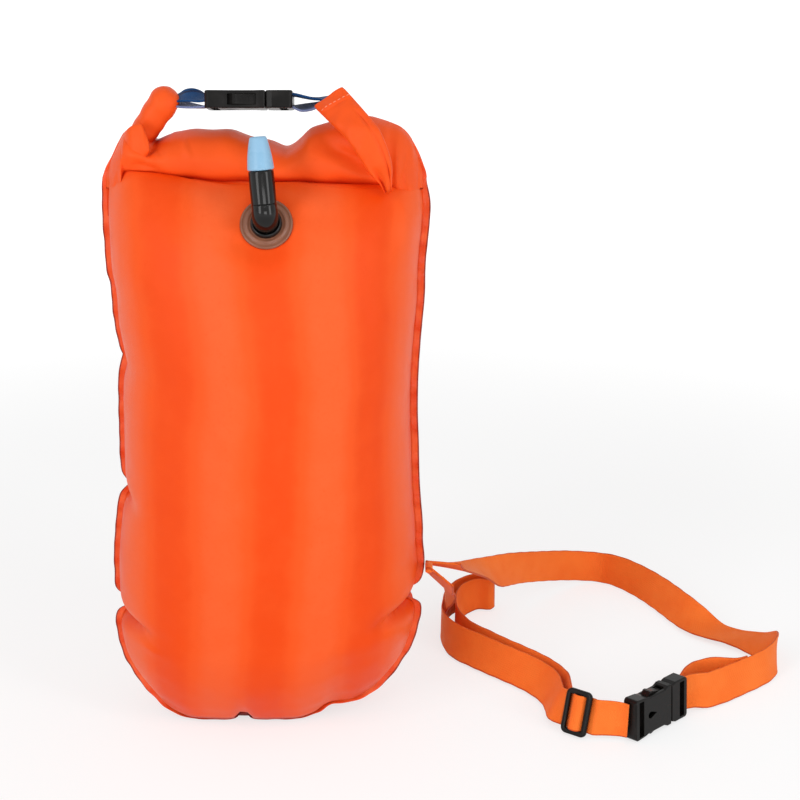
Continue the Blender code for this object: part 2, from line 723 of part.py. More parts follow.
def add_latch_arm(name, frame, side):
    """One sprung arm, with its origin on the hinge line at its root."""
    hinge_x = -(ARM_HALF_ROOT + 2 * GAP)
    hinge_y = side * ARM_HINGE_OFFSET
    inside = cavity_half_height() - GAP
    outline = [(x - hinge_x, y - hinge_y) for x, y in arm_outline(side)]
    arm = add_object(name, extrude_outline(outline, -inside, inside), frame,
                     Matrix.Translation((hinge_x, hinge_y, 0.0)))
    paint(arm, "black_acetal", BLACK, 0.3)
    return arm


def add_buckle(prefix, frame, arm_names):
    add_socket(prefix + "_socket", frame)
    add_plug_body(prefix + "_plug", frame)
    for name, side in zip(arm_names, (1, -1)):
        add_latch_arm(prefix + "_" + name, frame, side)


def top_buckle_matrix():
    """Buckle frame of the handle: mouth place, and the plates tipped towards the front."""
    mouth = TOP_BUCKLE_CENTRE + Vector((SOCKET_LENGTH - BUCKLE_LENGTH / 2, 0.0, 0.0))
    return Matrix.Translation(mouth) @ Matrix.Rotation(radians(-TOP_BUCKLE_TILT_DEG), 4, "X")


def standing_matrix(foot, heading_deg, lean_deg, half_height):
    """A frame on its lower edge: +X along the heading, +Y up but leaning to the left of the heading."""
    heading = radians(heading_deg)
    lean = radians(lean_deg)
    along = Vector((cos(heading), sin(heading), 0.0))
    left = Vector((-sin(heading), cos(heading), 0.0))
    up = left * sin(lean) + Vector((0.0, 0.0, cos(lean)))
    out = along.cross(up)
    matrix = Matrix((along, up, out)).transposed().to_4x4()
    matrix.translation = foot + up * half_height
    return matrix


# Handle straps


def add_top_straps(frame_matrix):
    """Each loop runs from its roll end round the buckle's bar, as one folded strap seen on its edge."""
    half_bar = BUCKLE_THICKNESS / 2 - BUCKLE_BEVEL
    across = (frame_matrix.to_3x3() @ Vector((0.0, 1.0, 0.0))).normalized()
    socket_bar = -SOCKET_LENGTH + STRAP_BAR / 2
    plug_bar = BUCKLE_LENGTH - SOCKET_LENGTH - STRAP_BAR / 2
    clear = STRAP_BAR / 2 + GAP + TOP_WEBBING_THICKNESS
    left_tip = LEFT_END_TIP + Vector((LEFT_END_RADIUS + GAP * 2, 0.0, 0.0))
    point, travel, along, normal = right_end_frames()[-1]
    corner = point - along * RIGHT_END_WIDTH / 2 + travel * TOP_WEBBING_THICKNESS * 3 / 2
    rise = Vector((0.0, 0.0, STRAP_BAR))
    loops = (
        ("top_strap_left", socket_bar, 1, left_tip + rise, left_tip - rise, TOP_STRAP_BULGE),
        ("top_strap_right", plug_bar, -1, corner + along * RIGHT_END_WIDTH / 4,
         corner + along * RIGHT_END_WIDTH / 16, 0.0),
    )
    for name, bar, inward, top, bottom, bulge in loops:
        high = half_bar + BUCKLE_BEVEL + GAP + TOP_WEBBING_THICKNESS
        wrap = [
            Vector((bar - inward * clear * 1.2, 0.0, high)),
            Vector((bar + inward * clear / 2, 0.0, high)),
            Vector((bar + inward * clear, 0.0, high * 0.6)),
            Vector((bar + inward * clear, 0.0, -high * 0.6)),
            Vector((bar + inward * clear / 2, 0.0, -high)),
            Vector((bar - inward * clear * 1.2, 0.0, -high)),
        ]
        wrap = [frame_matrix @ point for point in wrap]
        lift = Vector((0.0, 0.0, bulge))
        route = [top, top.lerp(wrap[0], 1 / 2) + lift] + wrap + [bottom.lerp(wrap[-1], 1 / 2), bottom]
        points = [Vector(p) for p in smooth_route(route, ROUTE_STEP / 3)]
        strap = add_object(name, ribbon(points, [across] * len(points), TOP_WEBBING_WIDTH, TOP_WEBBING_THICKNESS))
        paint(strap, "blue_webbing", BLUE, 0.75)


# Belt slider


def add_slider(matrix):
    frame = add_frame("slider_frame", matrix)
    half_l = SLIDER_LENGTH / 2
    half_t = SLIDER_THICKNESS / 2
    inner = SLIDER_HALF_WIDTH - SLIDER_END_BAR
    slider = add_object("belt_slider", box((-half_l, -SLIDER_HALF_WIDTH, -half_t), (half_l, SLIDER_HALF_WIDTH, half_t)),
                        frame)
    soften(slider, SLIDER_BEVEL)
    slot_length = (SLIDER_LENGTH - 2 * SLIDER_BAR - SLIDER_MIDDLE_BAR) / 2
    for word, start in (("left", -half_l + SLIDER_BAR), ("right", half_l - SLIDER_BAR - slot_length)):
        slot = add_object("slider_slot_" + word, box(
            (start, -inner, -half_t - OVERRUN), (start + slot_length, inner, half_t + OVERRUN)), frame)
        cut(slider, slot)
    paint(slider, "black_acetal", BLACK, 0.35)


def add_front_webbing(slider_matrix, buckle_matrix):
    """The short stretch from the socket's bar through the slider, over its middle bar."""
    behind = -(SLIDER_THICKNESS / 2 + GAP * 2 + BELT_WEBBING_THICKNESS / 2)
    half_l = SLIDER_LENGTH / 2
    entering = [(1.12, 1.0), (0.80, 1.0), (0.585, 0.79), (0.42, 0.0), (0.254, -0.79), (0.06, -1.0)]
    shares = entering + [(-x, z) for x, z in reversed(entering)]
    through = [slider_matrix @ Vector((half_l * x, 0.0, behind * z)) for x, z in shares]
    bar = buckle_matrix @ Vector((-SOCKET_LENGTH - BELT_WEBBING_THICKNESS * 3 / 2, 0.0, 0.0))
    middle = [Vector(point[:3]) for point in FRONT_ROUTE]
    route = [bar] + middle[:1] + middle[2:] + through
    points = [Vector(p) for p in smooth_route(route, ROUTE_STEP / 3)]
    slider_up = slider_matrix.to_3x3() @ Vector((0.0, 1.0, 0.0))
    buckle_up = buckle_matrix.to_3x3() @ Vector((0.0, 1.0, 0.0))
    last = len(points) - 1
    widths = [buckle_up.lerp(slider_up, min(1.0, 2 * i / last)) for i in range(last + 1)]
    strap = add_object("belt_front_webbing", ribbon(points, widths, BELT_WEBBING_WIDTH, BELT_WEBBING_THICKNESS))
    paint(strap, "orange_webbing", WEBBING_ORANGE, 0.8)


def add_route_webbing(name, route):
    strap = add_object(name, leaning_ribbon(route, BELT_WEBBING_WIDTH, BELT_WEBBING_THICKNESS))
    paint(strap, "orange_webbing", WEBBING_ORANGE, 0.8)


def add_anchor_tab():
    """The folded tab on the seam that the leash passes through."""
    edge = RIGHT_EDGE_AT_ANCHOR + GAP * 2 + FLANGE_WIDTH
    tab = add_object("leash_anchor_tab", box(
        (edge, -BELT_WEBBING_WIDTH / 2, ANCHOR_HEIGHT - ANCHOR_TAB_HEIGHT),
        (edge + ANCHOR_TAB_LENGTH / 2, 0.0, ANCHOR_HEIGHT)))
    paint(tab, "orange_webbing", WEBBING_ORANGE, 0.8)


def right_edge_at(height):
    """The bag's right edge at a height, between its levels."""
    levels = list(bag_levels())
    for low, high in zip(levels, levels[1:]):
        if low[0] <= height <= high[0]:
            share = (height - low[0]) / (high[0] - low[0])
            return low[2] + (high[2] - low[2]) * share
    return levels[-1][2]


RIGHT_EDGE_AT_ANCHOR = right_edge_at(ANCHOR_HEIGHT)


# Valve. Its frame has +Z straight out of the bag and +Y up the bag's shoulder.


def valve_matrix():
    facing = radians(VALVE_FACING_DEG)
    out = Vector((0.0, -cos(facing), sin(facing)))
    up = Vector((0.0, sin(facing), cos(facing)))
    matrix = Matrix((up.cross(out), up, out)).transposed().to_4x4()
    out_place = VALVE_OUT_SHARE * BAG_HALF_DEPTH
    matrix.translation = Vector((VALVE_OFFSET, -out_place, VALVE_HEIGHT_SHARE * BAG_HEIGHT))
    return matrix


def swept_bend(radius, start, overrun):
    """A pipe that leaves along +Z and bends up to the stem's direction."""
    lean = radians(90 - STEM_LEAN_DEG)
    rings = []
    steps = 8
    rings.append(ring_points(radius, radius, start))
    rings.append(ring_points(radius, radius, STEM_STAND_OFF))
    centre_y = STEM_BEND
    for i in range(1, steps + 1):
        turn = lean * i / steps
        middle = Vector((0.0, centre_y - STEM_BEND * cos(turn), STEM_STAND_OFF + STEM_BEND * sin(turn)))
        across = Vector((0.0, cos(turn), -sin(turn)))
        rings.append([
            middle + Vector((x, 0.0, 0.0)) + across * y for x, y, z in ring_points(radius, radius, 0.0)
        ])
    direction = Vector((0.0, sin(lean), cos(lean)))
    end = STEM_LENGTH + overrun
    rings.append([point + direction * end for point in rings[-1]])
    return loft(rings)


def stem_matrix():
    """The frame of the straight tube, with +Z along it and its foot on the elbow's end."""
    lean = radians(90 - STEM_LEAN_DEG)
    direction = Vector((0.0, sin(lean), cos(lean)))
    foot = Vector((0.0, STEM_BEND - STEM_BEND * cos(lean), STEM_STAND_OFF + STEM_BEND * sin(lean)))
    foot += direction * (STEM_LENGTH + GAP)
    side = Vector((1.0, 0.0, 0.0))
    matrix = Matrix((side, direction.cross(side), direction)).transposed().to_4x4()
    matrix.translation = foot
    return matrix


def add_valve(front_chamber):
    frame = add_frame("valve_frame", valve_matrix())
    floor = -VALVE_FLANGE_THICKNESS - GAP
    pocket = add_object("valve_pocket", turned([
        (VALVE_BACKING_RADIUS + GAP, floor - VALVE_BACKING_THICKNESS - GAP), (VALVE_BACKING_RADIUS + GAP, floor),
        (VALVE_FLANGE_RADIUS + GAP, floor), (VALVE_FLANGE_RADIUS + GAP, OVERRUN * 2)]), frame)
    cut(front_chamber, pocket)

    flange = add_object("valve_flange", turned([
        (VALVE_FLANGE_RADIUS - VALVE_FLANGE_THICKNESS / 2, -VALVE_FLANGE_THICKNESS),
        (VALVE_FLANGE_RADIUS, -VALVE_FLANGE_THICKNESS / 2),
        (VALVE_FLANGE_RADIUS, -VALVE_FLANGE_THICKNESS / 4), (VALVE_FLANGE_RADIUS - VALVE_FLANGE_THICKNESS / 2, 0.0)]),
        frame)
    backing = add_object("valve_backing_ring", turned([
        (VALVE_BACKING_RADIUS, floor - VALVE_BACKING_THICKNESS), (VALVE_BACKING_RADIUS, floor)]), frame)
    collar = add_object("valve_collar", turned([
        (VALVE_COLLAR_RADIUS, GAP), (VALVE_COLLAR_RADIUS, VALVE_COLLAR_HEIGHT * 3 / 4),
        (VALVE_COLLAR_RADIUS - VALVE_COLLAR_HEIGHT / 4, VALVE_COLLAR_HEIGHT)]), frame)
    bore = add_object("valve_bore", turned([(VALVE_BORE, floor - OVERRUN), (VALVE_BORE, OVERRUN * 3)]), frame)
    socket_bore = add_object("collar_bore", turned([
        (STEM_RADIUS + GAP, VALVE_COLLAR_HEIGHT / 3), (STEM_RADIUS + GAP, OVERRUN * 3)]), frame)
    for piece in (flange, backing, collar):
        cut(piece, bore)
    cut(collar, socket_bore)

    head = add_frame("valve_head_frame", Matrix.Identity(4))
    head.parent = frame
    head.matrix_local = Matrix.Rotation(radians(HEAD_TURN_DEG), 4, "Z")
    elbow = add_object("valve_elbow", swept_bend(STEM_RADIUS, VALVE_COLLAR_HEIGHT / 3 + GAP, 0.0), head)
    elbow_bore = add_object("elbow_bore", swept_bend(VALVE_BORE, -OVERRUN, OVERRUN), head)
    cut(elbow, elbow_bore)

    tube = add_frame("stem_frame", Matrix.Identity(4))
    tube.parent = head
    tube.matrix_local = stem_matrix()
    sleeve = add_object("valve_lock_sleeve", turned([
        (STEM_RADIUS, 0.0), (STEM_RADIUS, SLEEVE_LENGTH / 8),
        (SLEEVE_TOP_RADIUS, SLEEVE_LENGTH - GAP * 2), (SLEEVE_TOP_RADIUS - GAP * 2, SLEEVE_LENGTH)]), tube)
    sleeve_bore = add_object("sleeve_bore", turned([(SLEEVE_BORE, -OVERRUN), (SLEEVE_BORE, SLEEVE_LENGTH + OVERRUN)]),
                             tube)
    cut(sleeve, sleeve_bore)

    foot = SLEEVE_LENGTH + GAP
    tip = foot + NOZZLE_LENGTH
    nozzle_rings = [
        ring_points(NOZZLE_STEM_RADIUS, NOZZLE_STEM_RADIUS, foot - NOZZLE_STEM_LENGTH),
        ring_points(NOZZLE_STEM_RADIUS, NOZZLE_STEM_RADIUS, foot),
        ring_points(NOZZLE_FOOT_RADIUS - GAP * 2, NOZZLE_FOOT_RADIUS - GAP * 2, foot),
        ring_points(NOZZLE_FOOT_RADIUS, NOZZLE_FOOT_RADIUS, foot + GAP * 2),
        ring_points(NOZZLE_FOOT_RADIUS * 0.92, NOZZLE_FOOT_RADIUS * 0.86, foot + NOZZLE_LENGTH / 2),
        ring_points(NOZZLE_TIP_HALF_WIDTH * 1.12, NOZZLE_TIP_HALF_THICKNESS * 1.12, tip - NOZZLE_LENGTH / 8),
        ring_points(NOZZLE_TIP_HALF_WIDTH, NOZZLE_TIP_HALF_THICKNESS, tip),
    ]
    nozzle = add_object("valve_mouthpiece", loft(nozzle_rings), tube)
    nozzle_bore = add_object("mouthpiece_bore", loft([
        ring_points(NOZZLE_BORE_HALF_WIDTH, NOZZLE_BORE_HALF_THICKNESS, z)
        for z in (foot - NOZZLE_STEM_LENGTH - OVERRUN, tip + OVERRUN)]), tube)
    cut(nozzle, nozzle_bore)

    seal_middle = foot - NOZZLE_STEM_LENGTH / 2
    seal_inner = NOZZLE_STEM_RADIUS + GAP / 3
    seal_outer = SLEEVE_BORE - GAP / 3
    seal = add_object("valve_seal_ring", turned([
        (seal_outer, seal_middle - SEAL_THICKNESS), (seal_outer, seal_middle + SEAL_THICKNESS)]), tube)
    seal_bore = add_object("seal_bore", turned([
        (seal_inner, seal_middle - OVERRUN), (seal_inner, seal_middle + OVERRUN)]), tube)
    cut(seal, seal_bore)

    for piece, name, colour, roughness in (
        (flange, "smoked_vinyl", SMOKED, 0.15), (backing, "smoked_vinyl", SMOKED, 0.15),
        (collar, "black_vinyl", BLACK, 0.2), (elbow, "black_vinyl", BLACK, 0.2),
        (sleeve, "black_vinyl", BLACK, 0.2), (nozzle, "pale_blue_plastic", PALE_BLUE, 0.35),
        (seal, "seal_rubber", BLACK, 0.6),
    ):
        paint(piece, name, colour, roughness)


def build():
    clear_scene()
    front_chamber = add_air_chambers()
    add_liner()
    add_side_seam("side_seam_left", -1)
    add_side_seam("side_seam_right", 1)
    add_rolled_mouth()
    add_left_roll_end()
    add_right_roll_end()

    top_matrix = top_buckle_matrix()
    add_buckle("top", add_frame("top_buckle_frame", top_matrix), ("latch_back", "latch_front"))
    add_top_straps(top_matrix)

    lean_matrix = standing_matrix(BELT_BUCKLE_FOOT, BELT_BUCKLE_HEADING_DEG, BELT_BUCKLE_LEAN_DEG,
                                  BUCKLE_HALF_WIDTH + GAP)
    add_buckle("belt", add_frame("belt_buckle_frame", lean_matrix), ("latch_upper", "latch_lower"))
    slider_matrix = standing_matrix(SLIDER_FOOT, SLIDER_HEADING_DEG, SLIDER_LEAN_DEG,
                                    SLIDER_HALF_WIDTH + SLIDER_THICKNESS / 4)
    add_slider(slider_matrix)
    add_front_webbing(slider_matrix, lean_matrix)
    add_route_webbing("belt_adjuster_webbing", ADJUSTER_ROUTE)
    add_route_webbing("belt_back_webbing", BACK_ROUTE)
    add_route_webbing("belt_sewn_return", RETURN_ROUTE)
    add_route_webbing("leash_webbing", LEASH_ROUTE)
    add_anchor_tab()
    add_valve(front_chamber)


build()
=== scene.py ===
"""Open water swim buoy: the looks of a roll-top air bag with its valve, clipped handle and waist belt.

Metres, +Z up, the front facing -Y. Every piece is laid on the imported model, which holds its sizes
and joints. Waves and wrinkles in the cloth take their rates in radians a metre.
"""

from math import cos, pi, radians, sin

import bmesh
import bpy
import numpy as np
from mathutils import Matrix, Vector


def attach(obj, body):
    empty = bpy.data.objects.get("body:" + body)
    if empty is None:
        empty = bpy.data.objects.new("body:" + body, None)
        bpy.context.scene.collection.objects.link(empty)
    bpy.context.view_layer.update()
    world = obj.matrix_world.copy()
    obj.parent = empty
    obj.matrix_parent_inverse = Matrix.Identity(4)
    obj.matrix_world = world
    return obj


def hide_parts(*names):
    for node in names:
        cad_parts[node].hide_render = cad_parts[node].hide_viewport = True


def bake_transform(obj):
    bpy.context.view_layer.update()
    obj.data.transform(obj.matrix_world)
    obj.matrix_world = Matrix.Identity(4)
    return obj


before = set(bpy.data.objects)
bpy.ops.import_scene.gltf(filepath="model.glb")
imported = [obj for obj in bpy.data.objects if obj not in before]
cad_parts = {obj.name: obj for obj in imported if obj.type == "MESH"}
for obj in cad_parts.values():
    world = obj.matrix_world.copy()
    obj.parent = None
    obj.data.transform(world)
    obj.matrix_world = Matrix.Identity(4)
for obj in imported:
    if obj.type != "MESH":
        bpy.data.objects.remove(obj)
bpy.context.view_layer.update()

# Studio. A pale sweep of paper under soft boxes, with the camera above and in front of the buoy.
# The paper is white to the camera but keeps the buoy's soft shadow, and it lights the underside.

CAMERA_PLACE = (0.0938, -1.3237, 0.6898)
CAMERA_AIM = (0.0938, 0.0, 0.234)
CAMERA_LENS, CAMERA_SENSOR = 90, 36
PAPER_HALF = 9.0
# The paper's own glow: less round the buoy, and white from far on
PAPER_NEAR, PAPER_FAR = 0.5, 1.6
GLOW_NEAR, GLOW_FAR = 0.70, 1.00
PAPER_MATT = (0.8, 0.8, 0.8, 1)
PAPER_SHADE = (0.34, 0.34, 0.34, 1)
WHITE = (1, 1, 1, 1)
ROOM_LIGHT = 0.54
# Name, place, aim, width, height and power
SOFT_BOXES = [
    ("left_box", (-1.20, -1.60, 0.80), (0, 0, 0.20), 0.70, 1.40, 13.5),
    ("right_box", (1.60, -1.20, 0.70), (0.05, 0, 0.16), 0.60, 1.40, 11.0),
    ("low_front_box", (0.45, -2.20, 0.36), (0.12, 0, 0.10), 0.90, 0.50, 6.5),
    ("left_glint", (-0.80, -0.95, 1.45), (0, 0, 0.30), 0.20, 0.20, 1.6),
    ("right_glint", (0.85, -0.95, 1.45), (0, 0, 0.30), 0.20, 0.20, 1.3),
]


def add_node(tree, kind, inputs=None, **settings):
    """One shader node. Its inputs are values, or sockets that get linked."""
    made = tree.nodes.new(kind)
    for key, value in settings.items():
        setattr(made, key, value)
    for key, value in (inputs or {}).items():
        if isinstance(value, bpy.types.NodeSocket):
            tree.links.new(value, made.inputs[key])
        else:
            made.inputs[key].default_value = value
    return made


def maths(tree, operation, a, b=0.0, clamp=False):
    return add_node(tree, "ShaderNodeMath", {0: a, 1: b}, operation=operation, use_clamp=clamp).outputs[0]


def between(tree, value, low, high, to_low=0.0, to_high=1.0):
    """Eases a value over from one range to another."""
    return add_node(tree, "ShaderNodeMapRange", {
        "Value": value, "From Min": low, "From Max": high, "To Min": to_low, "To Max": to_high},
        interpolation_type="SMOOTHSTEP").outputs[0]


def seen_straight(tree):
    """1 for the rays of the camera and of mirror-like and clear surfaces, else 0."""
    path = add_node(tree, "ShaderNodeLightPath")
    straight = maths(tree, "MAXIMUM", path.outputs["Is Camera Ray"], path.outputs["Is Glossy Ray"])
    return maths(tree, "MAXIMUM", straight, path.outputs["Is Transmission Ray"])


def stand(name, data, place, aim):
    """Stands the camera or a lamp at its place, turned to what it is aimed at."""
    thing = bpy.data.objects.new(name, data)
    thing.location = place
    thing.rotation_euler = (Vector(aim) - Vector(place)).to_track_quat("-Z", "Y").to_euler()
    bpy.context.scene.collection.objects.link(thing)
    return thing


def add_camera():
    data = bpy.data.cameras.new("camera")
    data.lens, data.sensor_width, data.clip_start = CAMERA_LENS, CAMERA_SENSOR, 0.01
    bpy.context.scene.camera = stand("camera", data, CAMERA_PLACE, CAMERA_AIM)


def add_paper():
    mesh = bpy.data.meshes.new("paper")
    corners = [(PAPER_HALF * x, PAPER_HALF * y, 0) for x, y in ((-1, -1), (1, -1), (1, 1), (-1, 1))]
    mesh.from_pydata(corners, [], [(0, 1, 2, 3)])
    paper = bpy.data.objects.new("paper", mesh)
    bpy.context.scene.collection.objects.link(paper)
    material = bpy.data.materials.new("paper")
    material.use_nodes = True
    tree = material.node_tree
    tree.nodes.clear()
    place = add_node(tree, "ShaderNodeTexCoord").outputs["Object"]
    reach = add_node(tree, "ShaderNodeVectorMath", {0: place}, operation="LENGTH").outputs["Value"]
    strength = between(tree, reach, PAPER_NEAR, PAPER_FAR, GLOW_NEAR, GLOW_FAR)
    matt = add_node(tree, "ShaderNodeBsdfDiffuse", {"Color": PAPER_MATT}).outputs[0]
    shade = add_node(tree, "ShaderNodeBsdfDiffuse", {"Color": PAPER_SHADE}).outputs[0]
    glow = add_node(tree, "ShaderNodeEmission", {"Strength": strength}).outputs[0]
    white = add_node(tree, "ShaderNodeAddShader", {0: shade, 1: glow}).outputs[0]
    mixed = add_node(tree, "ShaderNodeMixShader", {0: seen_straight(tree), 1: matt, 2: white}).outputs[0]
    add_node(tree, "ShaderNodeOutputMaterial", {"Surface": mixed})
    mesh.materials.append(material)


def add_room_light():
    """An even light from all round, which is plain white where it is seen."""
    world = bpy.data.worlds.new("surroundings")
    bpy.context.scene.world = world
    world.use_nodes = True
    tree = world.node_tree
    tree.nodes.clear()
    around, seen = (add_node(tree, "ShaderNodeBackground", {"Color": WHITE, "Strength": strength}).outputs[0]
                    for strength in (ROOM_LIGHT, 1.0))
    mixed = add_node(tree, "ShaderNodeMixShader", {0: seen_straight(tree), 1: around, 2: seen}).outputs[0]
    add_node(tree, "ShaderNodeOutputWorld", {"Surface": mixed})


def add_soft_boxes():
    for name, place, aim, wide, high, power in SOFT_BOXES:
        light = bpy.data.lights.new(name, "AREA")
        light.shape = "RECTANGLE"
        light.size, light.size_y, light.energy = wide, high, power
        stand(name, light, place, aim)


bpy.context.scene.view_settings.view_transform = "Standard"
add_camera()
add_paper()
add_room_light()
add_soft_boxes()

# Waist belt and leash. Woven webbing, 26 mm wide, in one orange, with firm selvedges. The back run
# hooks through the tab on the bag's edge and goes round to the buckle. The adjuster is doubled back.

WEBBING_WIDTH = 0.0260
WEBBING_THICKNESS = 0.0014
WEBBING_STEP = 0.0030
WEBBING_ORANGE = (0.985, 0.205, 0.027, 1)
WEBBING_SHADE = (0.920, 0.148, 0.016, 1)
WEBBING_EDGE = (0.62, 0.085, 0.014, 1)
# How far apart the warp cords, the weft and the fibres of the yarn lie
WARP_PITCH, WEFT_PITCH, FIBRE_PITCH = 0.0017, 0.0021, 0.00068
# How far the webbing wavers, and how fast its edges and its face do so along it
WAVER, STRETCHED_WAVER = 0.00012, 0.00005
EDGE_RATE, FACE_RATE = 410, 170

# The section, from one selvedge to the other and back: across as a share of half the width, and up
# as a share of half the thickness. The middle of its face is the point with this number
WEBBING_SECTION = [
    (1.000, 0.00), (0.990, 0.62), (0.955, 1.12), (0.905, 1.18), (0.850, 0.98), (0.62, 1.00), (0.31, 1.04),
    (0.00, 1.05), (-0.31, 1.04), (-0.62, 1.00), (-0.850, 0.98), (-0.905, 1.18), (-0.955, 1.12),
    (-0.990, 0.62),
]
WEBBING_SECTION += [(-across, -up) for across, up in WEBBING_SECTION]
SECTION_MIDDLE = 7

# Middle of the webbing as x, y, z, and how far its upper edge leans to the left of its travel, in degrees
BELT_BACK_ROUTE = [
    (0.1250, -0.0006, 0.1103, 88), (0.1290, 0.0280, 0.0944, 86), (0.1390, 0.0580, 0.0799, 80),
    (0.1522, 0.0880, 0.0654, 66), (0.1675, 0.1160, 0.0518, 34), (0.1824, 0.1420, 0.0424, 10),
    (0.1992, 0.1660, 0.0336, 0), (0.2287, 0.1970, 0.0213, 0), (0.2560, 0.2110, 0.0140, 2),
    (0.2740, 0.2030, 0.0136, 12), (0.2910, 0.1830, 0.0132, 22), (0.3050, 0.1590, 0.0128, 32),
    (0.3180, 0.1325, 0.0118, 42), (0.3290, 0.1165, 0.0090, 62), (0.3410, 0.1060, 0.0055, 83),
    (0.3550, 0.0960, 0.0050, 87), (0.3690, 0.0820, 0.0072, 70), (0.3776, 0.0650, 0.0118, 30),
    (0.3788, 0.0470, 0.0137, -4), (0.3716, 0.0325, 0.0137, -12), (0.3600, 0.0205, 0.0135, -14),
    (0.3460, 0.0095, 0.0132, -16), (0.3310, -0.0025, 0.0132, -18), (0.3180, -0.0115, 0.0138, -16),
    (0.3080, -0.0158, 0.0158, -8), (0.2981, -0.0210, 0.0160, -4),
]
BELT_RETURN_ROUTE = [
    (0.2967, -0.0193, 0.0160, 4), (0.3050, -0.0040, 0.0158, 10), (0.3150, 0.0085, 0.0138, 18),
    (0.3280, 0.0145, 0.0136, 18), (0.3420, 0.0128, 0.0136, 16), (0.3532, 0.0171, 0.0136, 15),
]
BELT_ADJUSTER_ROUTE = [
    (0.2115, -0.0427, 0.0162, -17), (0.2060, -0.0338, 0.0152, -26), (0.2052, -0.0215, 0.0144, -26),
    (0.2036, -0.0080, 0.0134, -28), (0.1984, 0.0054, 0.0125, -32), (0.1894, 0.0186, 0.0122, -34),
    (0.1772, 0.0318, 0.0120, -36), (0.1636, 0.0448, 0.0122, -34), (0.1507, 0.0570, 0.0127, -29),
    (0.1388, 0.0690, 0.0130, -20), (0.1306, 0.0830, 0.0137, -8), (0.1268, 0.1010, 0.0138, -2),
    (0.1281, 0.1190, 0.0138, 0), (0.1315, 0.1380, 0.0138, 2), (0.1395, 0.1535, 0.0138, 6),
    (0.1490, 0.1635, 0.0137, 8), (0.1582, 0.1675, 0.0138, 6), (0.1666, 0.1655, 0.0138, 2),
    (0.1700, 0.1600, 0.0138, 0), (0.1666, 0.1555, 0.0138, -2), (0.1586, 0.1570, 0.0138, -6),
    (0.1515, 0.1540, 0.0137, -9), (0.1445, 0.1450, 0.0137, -8), (0.1400, 0.1325, 0.0138, -4),
    (0.1380, 0.1180, 0.0138, 0), (0.1380, 0.1030, 0.0137, 6), (0.1405, 0.0890, 0.0134, 16),
    (0.1465, 0.0765, 0.0130, 24), (0.1560, 0.0660, 0.0127, 29), (0.1690, 0.0520, 0.0122, 34),
    (0.1830, 0.0380, 0.0120, 36), (0.1960, 0.0230, 0.0122, 34), (0.2060, 0.0070, 0.0128, 29),
    (0.2120, -0.0100, 0.0142, 23), (0.2134, -0.0250, 0.0160, 16), (0.2142, -0.0375, 0.0162, 12),
]
LEASH_ROUTE = [
    (0.1225, 0.0002, 0.1000, 46), (0.1235, 0.0300, 0.0805, 46), (0.1255, 0.0600, 0.0680, 46),
    (0.1290, 0.0880, 0.0520, 36), (0.1296, 0.1060, 0.0380, 8), (0.1301, 0.1180, 0.0280, 0),
]
FOLD = BELT_ADJUSTER_ROUTE.index((0.1700, 0.1600, 0.0138, 0))
ADJUSTER_OUTER, ADJUSTER_INNER = BELT_ADJUSTER_ROUTE[:FOLD + 1], BELT_ADJUSTER_ROUTE[FOLD:]

# Where each stretch of webbing comes near the moving part that it leads to, and where it ends
PLUG_BEND = (0.372, 0.045, 0.0135), (0.3818, -0.004, 0.0135)
ADJUSTER_BEND = (0.158, 0.048, 0.015), (0.205, -0.031, 0.015)
# Name, route, part of the model, moving part, its bend, and whether it hangs free as a cord
BELT_STRETCHES = [
    ("belt_back_strap", BELT_BACK_ROUTE, "belt_back_webbing", "belt_plug_base", PLUG_BEND, True),
    ("belt_sewn_end", BELT_RETURN_ROUTE, "belt_sewn_return", "belt_plug_base", PLUG_BEND, False),
    ("belt_adjuster_outer", ADJUSTER_OUTER, "belt_adjuster_webbing", "slider", ADJUSTER_BEND, True),
    ("belt_adjuster_inner", ADJUSTER_INNER, "belt_adjuster_webbing", "slider", ADJUSTER_BEND, True),
]


def smooth_line(points, step):
    """Points about one step apart on the smooth curve through the given ones."""
    points = np.array(points, float)
    padded = np.vstack([points[:1], points, points[-1:]])
    found = []
    for i in range(len(points) - 1):
        a, b, c, d = padded[i:i + 4]
        pieces = max(1, round(float(np.linalg.norm(c[:3] - b[:3])) / step))
        for t in np.arange(pieces) / pieces:
            found.append(0.5 * (2 * b + (c - a) * t + (2 * a - 5 * b + 4 * c - d) * t * t
                                + (3 * b - a - 3 * c + d) * t ** 3))
    found.append(points[-1])
    return np.array(found)


def unit(vectors):
    """The same directions, each one long."""
    return vectors / np.maximum(np.linalg.norm(vectors, axis=-1, keepdims=True), 1e-12)


def travel_along(line):
    """The way that a line runs, at each of its points."""
    return unit(np.gradient(line, axis=0))


def lengths_along(rows, axis):
    """How far each point of a grid is along the grid's rows or columns, in metres."""
    steps = np.linalg.norm(np.diff(rows, axis=axis), axis=-1)
    start = np.zeros_like(np.take(steps, [0], axis=axis))
    return np.cumsum(np.concatenate([start, steps], axis=axis), axis=axis)


def along_line(line):
    """How far each point of a line is along it."""
    return lengths_along(line[:, None], 0)[:, 0]


def closed_piece(name, points, faces, flat=None):
    """A smooth closed mesh, faced outward. flat is its UV map: a pair for each corner of each face."""
    mesh = bpy.data.meshes.new(name)
    mesh.from_pydata(points, [], faces)
    layer = mesh.uv_layers.new(name="flat")
    if flat is not None:
        layer.data.foreach_set("uv", flat.astype(np.float32).ravel())
    mesh.shade_smooth()
    bm = bmesh.new()
    bm.from_mesh(mesh)
    bmesh.ops.recalc_face_normals(bm, faces=bm.faces)
    bm.to_mesh(mesh)
    bm.free()
    piece = bpy.data.objects.new(name, mesh)
    bpy.context.scene.collection.objects.link(piece)
    return piece


